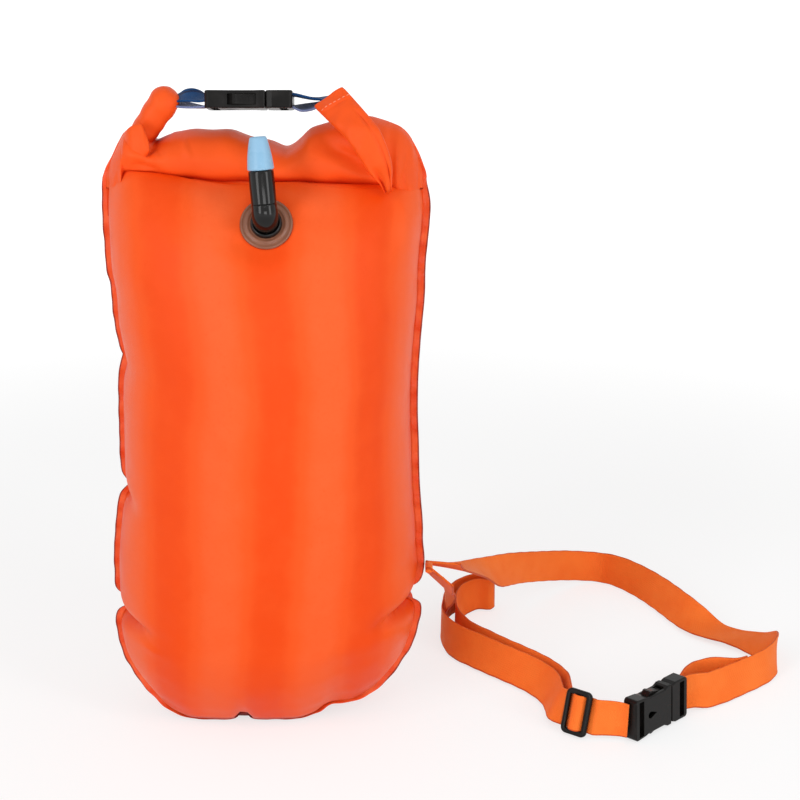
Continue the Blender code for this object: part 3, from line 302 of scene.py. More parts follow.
def skin(name, rings, u_start=None):
    """A closed mesh over rings of points, with its flat measures in metres kept as its UV map."""
    rows, count = rings.shape[:2]
    index = np.arange(rows * count).reshape(rows, count)
    after = np.roll(index, -1, axis=1)
    quads = np.stack([index[:-1], after[:-1], after[1:], index[1:]], axis=-1).reshape(-1, 4)
    faces = quads.tolist() + [index[0][::-1].tolist(), index[-1].tolist()]
    u = lengths_along(np.concatenate([rings, rings[:, :1]], axis=1), 1)
    zero = count // 4 if u_start is None else u_start
    u = u - u[:, zero:zero + 1]
    v = lengths_along(rings, 0)
    v = np.concatenate([v, v[:, :1]], axis=1)
    grid = np.stack([u, v], axis=-1)
    corners = np.stack([grid[:-1, :-1], grid[:-1, 1:], grid[1:, 1:], grid[1:, :-1]], axis=2).reshape(-1, 2)
    ends = np.concatenate([grid[0, :-1][::-1], grid[-1, :-1]])
    return closed_piece(name, rings.reshape(-1, 3).tolist(), faces, np.concatenate([corners, ends]))


def strip_sides(line, across):
    """The way across a strip, squared to its travel, and the way out of its face."""
    travel = travel_along(line)
    across = unit(across - travel * np.sum(across * travel, axis=1, keepdims=True))
    return across, np.cross(travel, across)


def woven_strip(name, line, across, waver=WAVER):
    """Webbing along a line: its section has thick selvedges, and its edges and face waver a little."""
    across, face = strip_sides(line, across)
    place = along_line(line)
    rings = []
    for side, up in WEBBING_SECTION:
        edge = side * (WEBBING_WIDTH / 2 + waver * np.sin(place * EDGE_RATE + side * 2.1) * abs(side) ** 6)
        lift = up * WEBBING_THICKNESS / 2 + waver * 0.6 * np.sin(place * FACE_RATE + side * 1.3)
        rings.append(line + across * edge[:, None] + face * lift[:, None])
    return skin(name, np.stack(rings, axis=1), SECTION_MIDDLE)


def leaning_strip(name, route):
    """Webbing along a route whose points say how it leans, and the middle line that it follows."""
    samples = smooth_line(route, WEBBING_STEP)
    line = samples[:, :3]
    travel = travel_along(line)
    lean = np.radians(samples[:, 3:])
    left = unit(np.stack([-travel[:, 1], travel[:, 0], np.zeros(len(line))], axis=1))
    across = left * np.sin(lean) + np.array([0.0, 0.0, 1.0]) * np.cos(lean)
    return woven_strip(name, line, across), line


def flat_measures(tree):
    """The piece's own flat measures in metres: across it, and along it."""
    uv = add_node(tree, "ShaderNodeUVMap", uv_map="flat").outputs[0]
    parts = add_node(tree, "ShaderNodeSeparateXYZ", {0: uv}).outputs
    return parts[0], parts[1]


def ripple(tree, measure, length, shift=0.0):
    """A sine of a measure, one wave in each length."""
    return maths(tree, "SINE", maths(tree, "ADD", maths(tree, "MULTIPLY", measure, 2 * pi / length), shift))


def blotches(tree, scale, detail=3.0, roughness=0.55):
    """Soft noise in the piece's own place, from 0 to 1."""
    place = add_node(tree, "ShaderNodeTexCoord").outputs["Object"]
    return add_node(tree, "ShaderNodeTexNoise",
                    {"Vector": place, "Scale": scale, "Detail": detail, "Roughness": roughness}).outputs[0]


def blend_colours(tree, share, first, second):
    """The second colour over the first by a share. Each is a value or a socket."""
    mix = add_node(tree, "ShaderNodeMix", data_type="RGBA")
    for socket, value in ((mix.inputs[0], share), (mix.inputs[6], first), (mix.inputs[7], second)):
        if isinstance(value, bpy.types.NodeSocket):
            tree.links.new(value, socket)
        else:
            socket.default_value = value
    return mix.outputs[2]


def new_finish(name, **values):
    """A new material with these plain values, its nodes and its shader."""
    material = bpy.data.materials.new(name)
    material.use_nodes = True
    shader = material.node_tree.nodes["Principled BSDF"]
    for key, value in values.items():
        shader.inputs[key.replace("_", " ")].default_value = value
    return material, material.node_tree, shader


def link_finish(tree, shader, colour, roughness, height, strength, depth):
    """Gives a finish its colour and roughness, and a fine relief of this strength and depth."""
    relief = add_node(tree, "ShaderNodeBump", {"Height": height, "Strength": strength, "Distance": depth})
    for socket, value in (("Base Color", colour), ("Roughness", roughness), ("Normal", relief.outputs[0])):
        tree.links.new(value, shader.inputs[socket])


def webbing_finish(name, colour, shade, edge, half_width):
    """Ribbed weave: warp cords along the webbing crossed by the weft, with tighter, darker selvedges."""
    material, tree, shader = new_finish(name, Roughness=0.62, Sheen_Weight=0.05, Sheen_Roughness=0.45,
                                        Specular_IOR_Level=0.15)
    across, along = flat_measures(tree)
    half_round = half_width + WEBBING_THICKNESS * 0.55
    across = maths(tree, "PINGPONG", maths(tree, "ABSOLUTE", across), half_round)
    cords = ripple(tree, across, WARP_PITCH)
    check = maths(tree, "MULTIPLY", cords, ripple(tree, along, WEFT_PITCH))
    fibre = ripple(tree, maths(tree, "ADD", along, maths(tree, "MULTIPLY", cords, 0.0004)), FIBRE_PITCH)
    height = maths(tree, "ADD", maths(tree, "MULTIPLY", check, 0.7), maths(tree, "MULTIPLY", fibre, 0.2))
    rim = between(tree, across, half_width * 0.92, half_width * 1.01)
    worn = blotches(tree, 55)
    tone = maths(tree, "ADD", maths(tree, "MULTIPLY", height, -0.30),
                 between(tree, worn, 0.3, 0.75, 0.10, 0.60), clamp=True)
    plain = blend_colours(tree, tone, colour, shade)
    link_finish(tree, shader, blend_colours(tree, rim, plain, edge),
                between(tree, worn, 0.2, 0.8, 0.52, 0.70), height, 0.5, 0.00022)
    return material


orange_webbing = webbing_finish("orange_webbing_weave", WEBBING_ORANGE, WEBBING_SHADE, WEBBING_EDGE,
                                WEBBING_WIDTH / 2)


def finish_piece(piece, finish, slot, *nodes):
    """Gives a piece its finish, and hides the parts of the model that it takes the place of."""
    piece.data.materials.append(finish)
    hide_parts(*nodes)


def flat_frame(place, along, through):
    """A flat fitting's own frame: +X along the webbing, toward its buckle's plug, and +Z through it."""
    along, through = Vector(along).normalized(), Vector(through).normalized()
    matrix = Matrix((along, through.cross(along), through)).transposed().to_4x4()
    matrix.translation = Vector(place)
    return matrix


# Frames of the belt's buckle, from its socket's mouth, and of the slider, from its middle
BELT_BUCKLE = flat_frame(place=(0.28461, -0.03440, 0.01638), along=(0.71325, 0.70091, 0.0),
                         through=(0.69995, -0.71227, 0.05234))
SLIDER = flat_frame(place=(0.21948, -0.05190, 0.01699), along=(0.80902, -0.58779, 0.0),
                    through=(-0.5622, -0.7737, 0.2924))
SOCKET_LENGTH = 0.0400
SLIDER_HALF_LENGTH, SLIDER_HALF_THICKNESS = 0.01025, 0.0017
SLIDER_CLEARANCE = 0.0006
# How the webbing weaves behind the slider's side, over its middle bar and behind again: place from
# the middle as a share of its half length, and how far behind it is, as a share of the most
WEAVE_HALF = [(1.12, 1.0), (0.80, 1.0), (0.585, 0.79), (0.42, 0.0), (0.254, -0.79), (0.06, -1.0)]
WEAVE = WEAVE_HALF + [(-along, behind) for along, behind in reversed(WEAVE_HALF)]
FRONT_STEP = 0.0012


def front_route():
    """From the socket's bar to the slider, and through it, with the way across the webbing."""
    behind = SLIDER_HALF_THICKNESS + SLIDER_CLEARANCE + WEBBING_THICKNESS / 2
    bar = BELT_BUCKLE @ Vector((-SOCKET_LENGTH - WEBBING_THICKNESS * 1.5, 0.0, 0.0))
    route = [bar, (0.2475, -0.0605, 0.0165), (0.2330, -0.0585, 0.0165)]
    route += [SLIDER @ Vector((SLIDER_HALF_LENGTH * along, 0.0, -behind * share)) for along, share in WEAVE]
    line = smooth_line([tuple(Vector(point)) for point in route], FRONT_STEP)
    buckle_up, slider_up = (np.array(fitting.to_3x3() @ Vector((0.0, 1.0, 0.0)))
                            for fitting in (BELT_BUCKLE, SLIDER))
    turned = np.minimum(1.0, 2 * np.arange(len(line)) / (len(line) - 1))[:, None]
    return line, buckle_up * (1 - turned) + slider_up * turned


def add_belt():
    """The leash first, then the belt's stretches, and last the one between the slider and the socket."""
    leash = leaning_strip("leash_strap", LEASH_ROUTE)[0]
    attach(leash, "bag")
    finish_piece(leash, orange_webbing, "orange_webbing", "leash_webbing")

    for name, route, node, body, bend, free in BELT_STRETCHES:
        strap, line = leaning_strip(name, route)
        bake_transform(strap)
        finish_piece(strap, orange_webbing, "orange_webbing", node)

    front = woven_strip("belt_front_strap", *front_route(), waver=STRETCHED_WAVER)
    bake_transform(front)
    finish_piece(front, orange_webbing, "orange_webbing", "belt_front_webbing")


add_belt()

# Leash tab. A short fold of the belt's webbing is welded into the bag's edge, and the leash and the
# belt's back run pass through it.

# Place outward, depth and half height, in millimetres
TAB_STATIONS = [
    (111.9, 12.7, 1.6), (112.5, 12.9, 2.2), (113.6, 13.0, 2.55), (115.0, 12.9, 2.5), (116.2, 12.6, 2.2),
    (116.9, 12.2, 1.6), (117.2, 11.6, 0.8),
]
TAB_MIDDLE, TAB_HEIGHT = -6.5, 109.4
TAB_POINTS, TAB_STEP = 36, 0.35


def rounded(value, power):
    """Squares up a sine or cosine, so that a round section becomes a softly cornered one."""
    return np.sign(value) * np.abs(value) ** power


def full_turn(count):
    """Even angles once round a section."""
    return np.linspace(0, 2 * pi, count, endpoint=False)


def add_tab():
    theta = full_turn(TAB_POINTS)
    rings = []
    for out, deep, high in smooth_line(TAB_STATIONS, TAB_STEP):
        y = TAB_MIDDLE + (deep / 2) * rounded(np.cos(theta), 0.45)
        z = TAB_HEIGHT + high * rounded(np.sin(theta), 0.75)
        rings.append(np.stack([np.full_like(theta, out), y, z], axis=1) / 1000)
    tab = skin("leash_tab_fold", np.stack(rings), 0)
    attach(tab, "bag")
    finish_piece(tab, orange_webbing, "orange_webbing", "leash_anchor_tab")


add_tab()

# Bag. Two panels of nylon with a sealing coat, each blown up over the flattened dry compartment
# between them. They are welded together along the sides and the foot, which stands on its base.

BAG_TOP = 0.390
FABRIC_ORANGE = (0.910, 0.096, 0.011, 1)
# Painted highlight, for the pale bands
FABRIC_PAINTED_HIGHLIGHT = (0.925, 0.126, 0.028, 1)
# Painted shade for the dark bands, and the colour of the specks
FABRIC_PAINTED_SHADE_AND_SPECK = (0.860, 0.068, 0.003, 1)
# Painted shade, in creases and hollows
FABRIC_CREASE_SHADE = (0.600, 0.024, 0.002, 1)
THREAD_ACROSS, THREAD_ALONG = 0.00058, 0.00052
# Painted highlight and painted shade in bands down the coat's colour: their length, where they start and how
# far they sway
BAND_LENGTH, BAND_SHIFT, BAND_SWAY = 0.072, 2.97, 0.030
# How near other surfaces must be for the painted crease shade
CREASE_SHADE_REACH = 0.010
WELD_WIDTH = 0.0055
# The weld stands up above this height, and is turned forward onto the floor at its foot
WELD_UPRIGHT = 0.024
# The panels' round section is a superellipse of this power
ARC_POWER = 2.3
SIDE_COLUMNS, INNER_COLUMNS, FOOT_ROWS = 112, 28, 9
# The columns crowd toward the edges by this much
COLUMN_EASE = 0.55
# Puckers reach this far from the weld, and forms fade out where the panel stands out less than this
PUCKER_REACH, FORM_FADE, FOLD_FADE = 0.010, 0.020, 0.012
FOLD_LEAST = 0.35
WALL_GAP = 0.0006
FLOOR_GAP = 0.0003
BACK_FOOT_HEIGHT = 0.0004
PANEL_MIDDLE = np.array([0.0, 0.2])

# Smooth outline of the flat panels, without the nips of the weld, in millimetres
LEFT_SIDE = [
    (-97.7, 24), (-108.7, 42), (-112.8, 61), (-113.2, 81), (-112.4, 98), (-111.5, 124), (-107.4, 158),
    (-105.2, 173), (-104.4, 189), (-104, 210), (-103, 247), (-100.9, 268), (-104.0, 294), (-104.9, 315),
    (-107.3, 330), (-107.9, 348), (-108.3, 370), (-107.2, 390),
]
RIGHT_SIDE = [
    (89, 27), (102, 45), (108.3, 65), (110.0, 78), (110.8, 90), (111.4, 104), (111.6, 114), (110.4, 128),
    (110.2, 142), (108, 172), (107.2, 203), (106.4, 229), (107, 258), (109, 287), (111, 310), (111.6, 334),
    (114.0, 360), (114.6, 376), (112.0, 390),
]
FOOT = [
    (-97.7, 24), (-87.5, 15.2), (-77, 8), (-64, 3), (-53, 0.9), (-36, 0.6), (-19, 0.6), (0, 0.6), (20, 1.2),
    (35, 5), (44, 9.3), (59, 10.6), (73, 15), (82, 20.5), (89, 27),
]
# Nips where the blown-up weld buckles: the edge, the place along it, the reach inward, the half
# width below and above, and how far in the nip has faded out
NIPS = [
    ("left", 80.5, 19.5, 6.0, 6.5, 42.0), ("left", 171.5, 6.5, 7.5, 9.0, 20.0),
    ("right", 86.5, 18.0, 5.0, 9.0, 42.0), ("left", 268.0, 1.8, 7.0, 9.0, 14.0),
    ("foot", -19.0, 11.0, 4.2, 4.2, 32.0),
]
# How much wider a nip gets on its way in, how narrow the fold in it is, and how sharp they are
NIP_FAN, NIP_FOLD = 0.7, 0.55
NIP_POWER, NIP_TIGHT, FOLD_POWER = 1.25, 1.6, 1.4
# Height in millimetres, with how far the front and the back stand out and the weld is pushed forward
DEPTH_LEVELS = [
    (0, 29.5, 35.0, 26.4), (3, 36.0, 38.2, 26.0), (7, 41.4, 42.6, 24.6), (11, 45.3, 46.4, 22.0),
    (16, 49.7, 50.4, 18.0), (24, 55.9, 56.2, 13.2), (34, 62.9, 62.9, 7.9), (45, 69.0, 69.0, 3.5),
    (60, 74.8, 74.8, 0.0), (76, 78.3, 78.3, 0.0), (98, 81.8, 81.8, 0.0), (127, 85.4, 85.4, 0.0),
    (159, 87.1, 87.1, 0.0), (189, 87.9, 87.9, 0.0), (250, 87.9, 87.9, 0.0), (287, 86.6, 86.6, 0.0),
    (320, 82.3, 82.3, 0.0), (345, 75.2, 75.2, 0.0), (363, 66.0, 66.0, 0.0), (376, 54.2, 54.2, 0.0),
    (385, 42.6, 42.6, 0.0), (390, 31.5, 31.5, 0.0),
]
# Crease between the front panel and the roll, and how far the panel is tucked up behind it
CREASE = [
    (-108, 390), (-98, 393), (-89, 400), (-75, 400.5), (-60.5, 399.7), (-37, 395.6), (-7.8, 393.4),
    (21.9, 394.6), (51.3, 392.4), (83.6, 390), (112, 390),
]
CREASE_TUCK = 0.0012
# Soft bands that run down the panel: place across and height, in millimetres
BANDS = [
    (-120, 0), (-104, 0.3), (-92, 1.6), (-72, -0.4), (-52, -2.4), (-32, 0.2), (-12, 2.6), (6, 0.4),
    (22, -2.2), (40, 0.0), (58, 2.2), (74, 0.2), (88, -1.0), (104, 0), (120, 0),
]
# Folds in the front view: from, to, half width and height in millimetres, and a hollow is below 0
FRONT_CREASES = [
    ((95, 388), (100, 348), 6.0, 2.2), ((90, 386), (88, 352), 5.0, -1.6),
    ((92, 382), (101, 372), 3.0, 1.2), ((-100, 388), (-98, 352), 7.0, 1.2),
    ((-93, 386), (-88, 350), 6.0, -1.2), ((60, 388), (52, 366), 7.0, -0.8),
    ((-60, 387), (-50, 362), 9.0, -0.7), ((28, 384), (24, 366), 8.0, 0.6),
    ((-97, 81), (-74, 71), 2.2, -2.6), ((-92, 74), (-74, 68), 3.4, 1.3),
    ((95, 86), (82, 82), 2.4, -1.8), ((-98, 171), (-88, 168), 3.0, -1.2),
    ((-19, 9), (-18, 30), 3.0, -1.4), ((-29, 12), (-33, 34), 6.0, 0.6),
]
BACK_CREASES = [
    ((-88, 388), (-80, 340), 7.0, -1.5), ((92, 388), (84, 344), 7.0, -1.6),
    ((-40, 388), (-34, 352), 9.0, -0.9), ((30, 388), (27, 356), 9.0, 0.8),
    ((-97, 81), (-70, 74), 2.6, -2.2), ((95, 86), (70, 80), 2.6, -2.2),
]


def upright(height):
    """1 where the weld stands up, down to 0 where it lies on the floor."""
    return np.clip(height / WELD_UPRIGHT, 0.0, 1.0)


def outward(line):
    """The way out of the panel, all along its outline."""
    travel = travel_along(line)
    normal = np.stack([-travel[:, 1], travel[:, 0]], axis=1)
    return normal * np.sign(np.sum(normal * (line - PANEL_MIDDLE), axis=1))[:, None]


def inner_edge(points):
    """An outline in metres, drawn in by the width of the weld."""
    line = smooth_line(points, 2.0) / 1000
    return line - outward(line) * WELD_WIDTH * np.stack([np.ones(len(line)), upright(line[:, 1])], axis=1)


def at_places(line, places):
    """The points of a line at these lengths along it."""
    along = along_line(line)
    return np.stack([np.interp(places, along, column) for column in line.T], axis=-1)


def by_first(table):
    """A table in the order of its first column."""
    return table[np.argsort(table[:, 0])]


LEFT_INNER, RIGHT_INNER = inner_edge(LEFT_SIDE), inner_edge(RIGHT_SIDE)
FOOT_INNER = by_first(inner_edge(FOOT))
FOOT_INNER[0], FOOT_INNER[-1] = LEFT_INNER[0], RIGHT_INNER[0]
DEPTH_TABLE = by_first(smooth_line(DEPTH_LEVELS, 1.0)) / 1000
CREASE_LINE = smooth_line(CREASE, 3.0) / 1000
BAND_LINE = smooth_line(BANDS, 2.0)


def bag_level(height):
    """How far the front and the back stand out, and the weld is pushed forward, at a height."""
    return [np.interp(height, DEPTH_TABLE[:, 0], DEPTH_TABLE[:, k]) for k in (1, 2, 3)]


def weld_line(height):
    """Where the weld and the middle layer lie at a height, from front to back."""
    return -bag_level(height)[2]


def crease_height(x):
    """The height of the crease under the roll, at a place across."""
    return np.interp(x, CREASE_LINE[:, 0], CREASE_LINE[:, 1])


def panel_edges(x, z):
    """Where the panel's left and right edge are at a height, and its foot at a place across."""
    left, right = (np.interp(z, line[:, 1], line[:, 0]) for line in (LEFT_INNER, RIGHT_INNER))
    return left, right, np.interp(x, FOOT_INNER[:, 0], FOOT_INNER[:, 1])


def nip_reach(x, z, left, right, foot):
    """How far the nips draw in points of the panel, across and up, and how sharp the fold is there."""
    move_x, move_z, fold = np.zeros_like(x), np.zeros_like(x), np.zeros_like(x)
    for side, place, reach, below, above, fade in NIPS:
        place, reach, below, above, fade = (value / 1000 for value in (place, reach, below, above, fade))
        along = x - place if side == "foot" else z - place
        inward = {"foot": z - foot, "left": x - left, "right": right - x}[side]
        fan = 1 + np.clip(inward, 0, fade) / fade * NIP_FAN
        width = np.where(along < 0, below, above) * fan
        near = np.clip(1 - inward / fade, 0, 1)
        pull = reach * np.exp(-(np.abs(along) / width) ** NIP_POWER * NIP_TIGHT) * near ** 2
        if side == "foot":
            move_z += pull
        else:
            move_x += pull if side == "left" else -pull
        fold += reach * np.exp(-(np.abs(along) / (width * NIP_FOLD)) ** FOLD_POWER) * near ** 3
    return move_x, move_z, fold


def panel_place(across, level):
    """Where a panel's point lies in the front view. across runs from -1 to 1, level from foot to roll."""
    left, right, foot = LEFT_INNER, RIGHT_INNER, FOOT_INNER
    share = (1 + across) / 2
    along = along_line(foot)
    bottom = at_places(foot, share * along[-1])
    sides = []
    for line in (left, right):
        height = line[0, 1] + (BAG_TOP - line[0, 1]) * level
        sides.append(np.stack([np.interp(height, line[:, 1], line[:, 0]), height], axis=-1))
    top_x = left[-1, 0] + (right[-1, 0] - left[-1, 0]) * share
    tucked = np.maximum(crease_height(top_x) + CREASE_TUCK, BAG_TOP)
    top = np.stack([top_x, np.where((share > 0) & (share < 1), tucked, BAG_TOP)], axis=-1)
    top_left, top_right = (np.array([line[-1, 0], BAG_TOP]) for line in (left, right))
    u, v = share[..., None], level[..., None]
    corners = (left[0] * (1 - u) * (1 - v) + right[0] * u * (1 - v) + top_left * (1 - u) * v
               + top_right * u * v)
    flat = (1 - v) * bottom + v * top + (1 - u) * sides[0] + u * sides[1] - corners
    return flat[..., 0], flat[..., 1]


def bands_and_puckers(x, z, edge_near, turn):
    """Soft bands down the blown-up panel, and small puckers along the weld."""
    place = x * 1000 + 3.0 * np.sin(z * 11 + turn) + 2.0 * turn
    bands = np.interp(place, *BAND_LINE.T) / 1000 * np.clip((z - 0.03) / 0.14, 0.15, 1)
    bands += 0.00030 * np.sin(x * 233 + 1.1 * np.sin(z * 14 + 1) + 2.0 + turn)
    rough = 0.00018 * np.sin(x * 310 + z * 95 + turn) * np.sin(z * 210 - x * 60)
    along = z + np.abs(x) * 0.35
    pucker = (np.sin(along * 520 + turn) + 0.7 * np.sin(along * 371 + 2 * turn + 1.0)
              + 0.5 * np.sin(along * 810))
    return bands + rough, 0.00075 * pucker / 2 * edge_near


def creases(x, z, rows):
    """The height of a table's soft folds at points of the front view."""
    total = np.zeros_like(x)
    for start, end, width, height in rows:
        start, end = np.array(start) / 1000, np.array(end) / 1000
        way = end - start
        t = np.clip(((x - start[0]) * way[0] + (z - start[1]) * way[1]) / (way @ way), 0, 1)
        gap = np.hypot(x - start[0] - t * way[0], z - start[1] - t * way[1])
        swell = np.sin(pi * np.clip(0.12 + 0.76 * t, 0, 1))
        total += height / 1000 * swell * np.exp(-(gap * 1000 / width) ** 1.6)
    return total


def chamber_levels():
    """Rows from the foot to the roll, closer together where the panel turns in."""
    low = [0, 0.8, 1.8, 3, 4.5, 6.2, 8.2, 10.5, 13, 15.8, 18.8, 22, 25.4, 29]
    middle = list(np.arange(31.6, 330, 2.7))
    high = list(np.arange(331, 389, 1.9)) + [389.0, 390.0]
    return np.array(low + middle + high) / (BAG_TOP * 1000)


# Flat seat that the valve's disc is welded on: its middle, the way out of it, how far round it the
# cloth is flat and where that has faded out, and how far it is drawn in
VALVE_PLACE = np.array([0.0070, -0.0590, 0.3755])
VALVE_TILT = radians(33)
VALVE_OUT = np.array([0.0, -cos(VALVE_TILT), sin(VALVE_TILT)])
SEAT_FLAT, SEAT_FADE, SEAT_DROP, SEAT_DEPTH = 0.0178, 0.0400, 0.0018, 0.03


def seat_valve(points):
    """Draws the front panel flat under the valve's disc, with short pulls round it."""
    away = points - VALVE_PLACE
    rise = away @ VALVE_OUT
    flat = away - np.outer(rise, VALVE_OUT)
    reach = np.linalg.norm(flat, axis=1)
    turn = np.arctan2(flat[:, 0], flat[:, 2])
    t = np.clip((reach - SEAT_FLAT) / (SEAT_FADE - SEAT_FLAT), 0, 1)
    hold = (1 - t * t * (3 - 2 * t)) * (np.abs(rise) < SEAT_DEPTH)
    pulls = 0.00045 * np.sin(turn * 7 + 0.8) + 0.00035 * np.sin(turn * 11 + 2.0)
    pulls = pulls * np.clip(t * 6, 0, 1) * (1 - t)
    return points + np.outer((-SEAT_DROP - rise) * hold + pulls, VALVE_OUT)


def chamber_rings(side):
    """Rings of one air chamber, round its outer panel and back along the flat wall inside.

    side is -1 in front and 1 behind, where the panel's foot also spreads flat on the floor.
    """
    turn = np.linspace(0, 1, SIDE_COLUMNS + 1)
    turn = pi * (turn - COLUMN_EASE * np.sin(2 * pi * turn) / (2 * pi))
    across = -rounded(np.cos(turn), 2 / ARC_POWER)
    bulge = np.abs(np.sin(turn)) ** (2 / ARC_POWER)
    inner = np.linspace(1, -1, INNER_COLUMNS + 1)[1:-1]
    rows = [(0.0, step / FOOT_ROWS) for step in range(FOOT_ROWS)] if side > 0 else []
    rows += [(level, 1.0) for level in chamber_levels()]
    rings = []
    for level, spread in rows:
        x, z = panel_place(across, np.full(len(across), level))
        edges = panel_edges(x, z)
        front, back, weld = bag_level(level * BAG_TOP)
        depth = (front if side < 0 else back) + side * weld
        if side > 0:
            sag = (1 - np.abs(across) ** 5) * (1 - level) ** 14
            on_floor = BACK_FOOT_HEIGHT + (z - BACK_FOOT_HEIGHT) * (1 - sag)
            z = z * (1 - spread) + on_floor * spread
        seam = weld_line(z)
        edge_near = np.exp(-(bulge * depth / PUCKER_REACH)) * np.clip(bulge * 6, 0, 1)
        move_x, move_z, fold = nip_reach(x, z, *edges)
        bands, pucker = bands_and_puckers(x, z, edge_near, 0.0 if side < 0 else 2.0)
        crease = creases(x, z, FRONT_CREASES if side < 0 else BACK_CREASES)
        out = depth * spread * bulge
        out = out + (bands * bulge + pucker + crease * bulge) * np.clip(out / FORM_FADE, 0, 1)
        out = np.maximum(out - fold * np.clip(out / FOLD_FADE, 0, 1), out * FOLD_LEAST)
        x, z = x + move_x, z + move_z * spread
        outer = np.stack([x, seam + side * (WALL_GAP + out), np.maximum(z, FLOOR_GAP)], axis=1)
        if side < 0:
            outer = seat_valve(outer)
        x, z = panel_place(inner, np.full(len(inner), level))
        move_x, move_z = nip_reach(x, z, *panel_edges(x, z))[:2]
        wall_y = weld_line(z) + side * WALL_GAP
        wall = np.stack([x + move_x, wall_y, np.maximum(z + move_z, FLOOR_GAP)], axis=1)
        rings.append(np.concatenate([outer, wall]))
    return np.stack(rings)


def coated_fabric_finish(name, colour, light, deep, roughness=0.40, bands=0.72):
    """Fine taffeta under a satin coat: threads barely show, and the coat is paler in blotches.
    Its colour holds painted highlight and painted shade in bands, and painted shade in creases and hollows.
    """
    material, tree, shader = new_finish(name, Roughness=roughness, Specular_IOR_Level=0.14)
    across, along = flat_measures(tree)
    threads = maths(tree, "MULTIPLY", ripple(tree, across, THREAD_ACROSS), ripple(tree, along, THREAD_ALONG))
    crumple = blotches(tree, 46, 5.0, 0.62)
    grain = blotches(tree, 420, 2.0)
    # Painted highlight and painted shade, in soft bands across the panel
    sway = maths(tree, "ADD", across, maths(tree, "MULTIPLY", blotches(tree, 5, 1.0), BAND_SWAY))
    painted_band = ripple(tree, sway, BAND_LENGTH, BAND_SHIFT)
    painted_band = between(tree, painted_band, -1.0, 1.0, 0.36 - bands / 2, 0.36 + bands / 2)
    tone = maths(tree, "ADD", painted_band, between(tree, crumple, 0.30, 0.75, 0.02, 0.16), clamp=True)
    dark = blend_colours(tree, between(tree, tone, 0.0, 0.42), deep, colour)
    plain = blend_colours(tree, between(tree, tone, 0.42, 1.0), dark, light)
    speck = maths(tree, "MULTIPLY", between(tree, grain, 0.52, 0.80), 0.22)
    # Painted shade: the colour turns deep red where other surfaces are near, in creases and hollows
    nearness = add_node(tree, "ShaderNodeAmbientOcclusion", {"Distance": CREASE_SHADE_REACH}, samples=8).outputs["AO"]
    tucked = between(tree, nearness, 0.72, 0.25)
    height = maths(tree, "ADD", maths(tree, "MULTIPLY", threads, 0.10), maths(tree, "MULTIPLY", crumple, 1.5))
    height = maths(tree, "ADD", height, maths(tree, "MULTIPLY", grain, 0.12))
    specked = blend_colours(tree, speck, plain, deep)
    link_finish(tree, shader, blend_colours(tree, tucked, specked, FABRIC_CREASE_SHADE),
                between(tree, crumple, 0.25, 0.75, roughness - 0.05, roughness + 0.07), height, 0.55, 0.00035)
    return material


coated_fabric = coated_fabric_finish("coated_fabric_skin", FABRIC_ORANGE, FABRIC_PAINTED_HIGHLIGHT, FABRIC_PAINTED_SHADE_AND_SPECK)
rolled_fabric = coated_fabric_finish("rolled_fabric_skin", FABRIC_ORANGE, FABRIC_PAINTED_HIGHLIGHT, FABRIC_PAINTED_SHADE_AND_SPECK,
                                     roughness=0.42, bands=0.12)

for name, side, node in (("front_panel", -1, "front_air_chamber"), ("back_panel", 1, "back_air_chamber")):
    panel = skin(name, chamber_rings(side), SIDE_COLUMNS // 2)
    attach(panel, "bag")
    finish_piece(panel, coated_fabric, "coated_fabric", node)

# Dry compartment. A thin sleeve of the same cloth, pressed flat between the two air chambers.
# Nothing of it shows while the mouth is rolled down, but it keeps its place between them.

SLEEVE_ROWS, SLEEVE_COLUMNS = 40, 21
SLEEVE_HALF = 0.00022
# The second colour is painted highlight in bands, and the third painted shade in bands and the specks' colour
LINER_ORANGE, LINER_PAINTED_HIGHLIGHT, LINER_PAINTED_SHADE_AND_SPECK = (0.80, 0.10, 0.02, 1), (0.86, 0.13, 0.03, 1), (0.62, 0.05, 0.01, 1)


def add_dry_sleeve():
    across = np.linspace(-0.90, 0.90, SLEEVE_COLUMNS)
    rings = []
    for level in np.linspace(0.03, 1.0, SLEEVE_ROWS):
        x, z = panel_place(across, np.full(len(across), level))
        y = weld_line(z) + 0.00010 * np.sin(x * 160)
        near, far = (np.stack([x, y + half, z], axis=1) for half in (-SLEEVE_HALF, SLEEVE_HALF))
        rings.append(np.concatenate([near, far[::-1]]))
    sleeve = skin("dry_sleeve", np.stack(rings))
    liner_cloth = coated_fabric_finish("liner_cloth", LINER_ORANGE, LINER_PAINTED_HIGHLIGHT, LINER_PAINTED_SHADE_AND_SPECK, 0.55)
    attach(sleeve, "bag")
    finish_piece(sleeve, liner_cloth, "liner_fabric", "dry_compartment_liner")


add_dry_sleeve()

# Welded edge. The panels' margins pressed together hot into one flat strip, with painted shade at its outer
# edge.
# The blown-up bag makes it wave and nip in, and at the foot it is turned forward onto the floor.

WELD_THICKNESS = 0.0011
WELD_STEP = 0.0016
# Share of its width that lies under the panels
WELD_MARGIN = 0.16
WELD_FLOOR_GAP = 0.0006
# The last colour is painted shade, along the strip's outer edge
WELD_ORANGE, WELD_LIGHT, WELD_EDGE_SHADE = (0.86, 0.082, 0.014, 1), (0.93, 0.135, 0.030, 1), (0.30, 0.022, 0.006, 1)
# It runs on up both ends of the roll, and narrows there as it is wound in
WELD_LEFT_END = [(-106.4, 394.4), (-104.2, 400), (-99.9, 407.5), (-95.6, 416), (-91.6, 423)]
WELD_RIGHT_END = [(111.9, 394.0), (110.6, 399.5), (106.6, 409.5), (102.0, 418.5), (96.0, 426)]
WELD_NARROWS = ([0.384, 0.396, 0.410, 0.426], [1.0, 0.80, 0.66, 0.40])
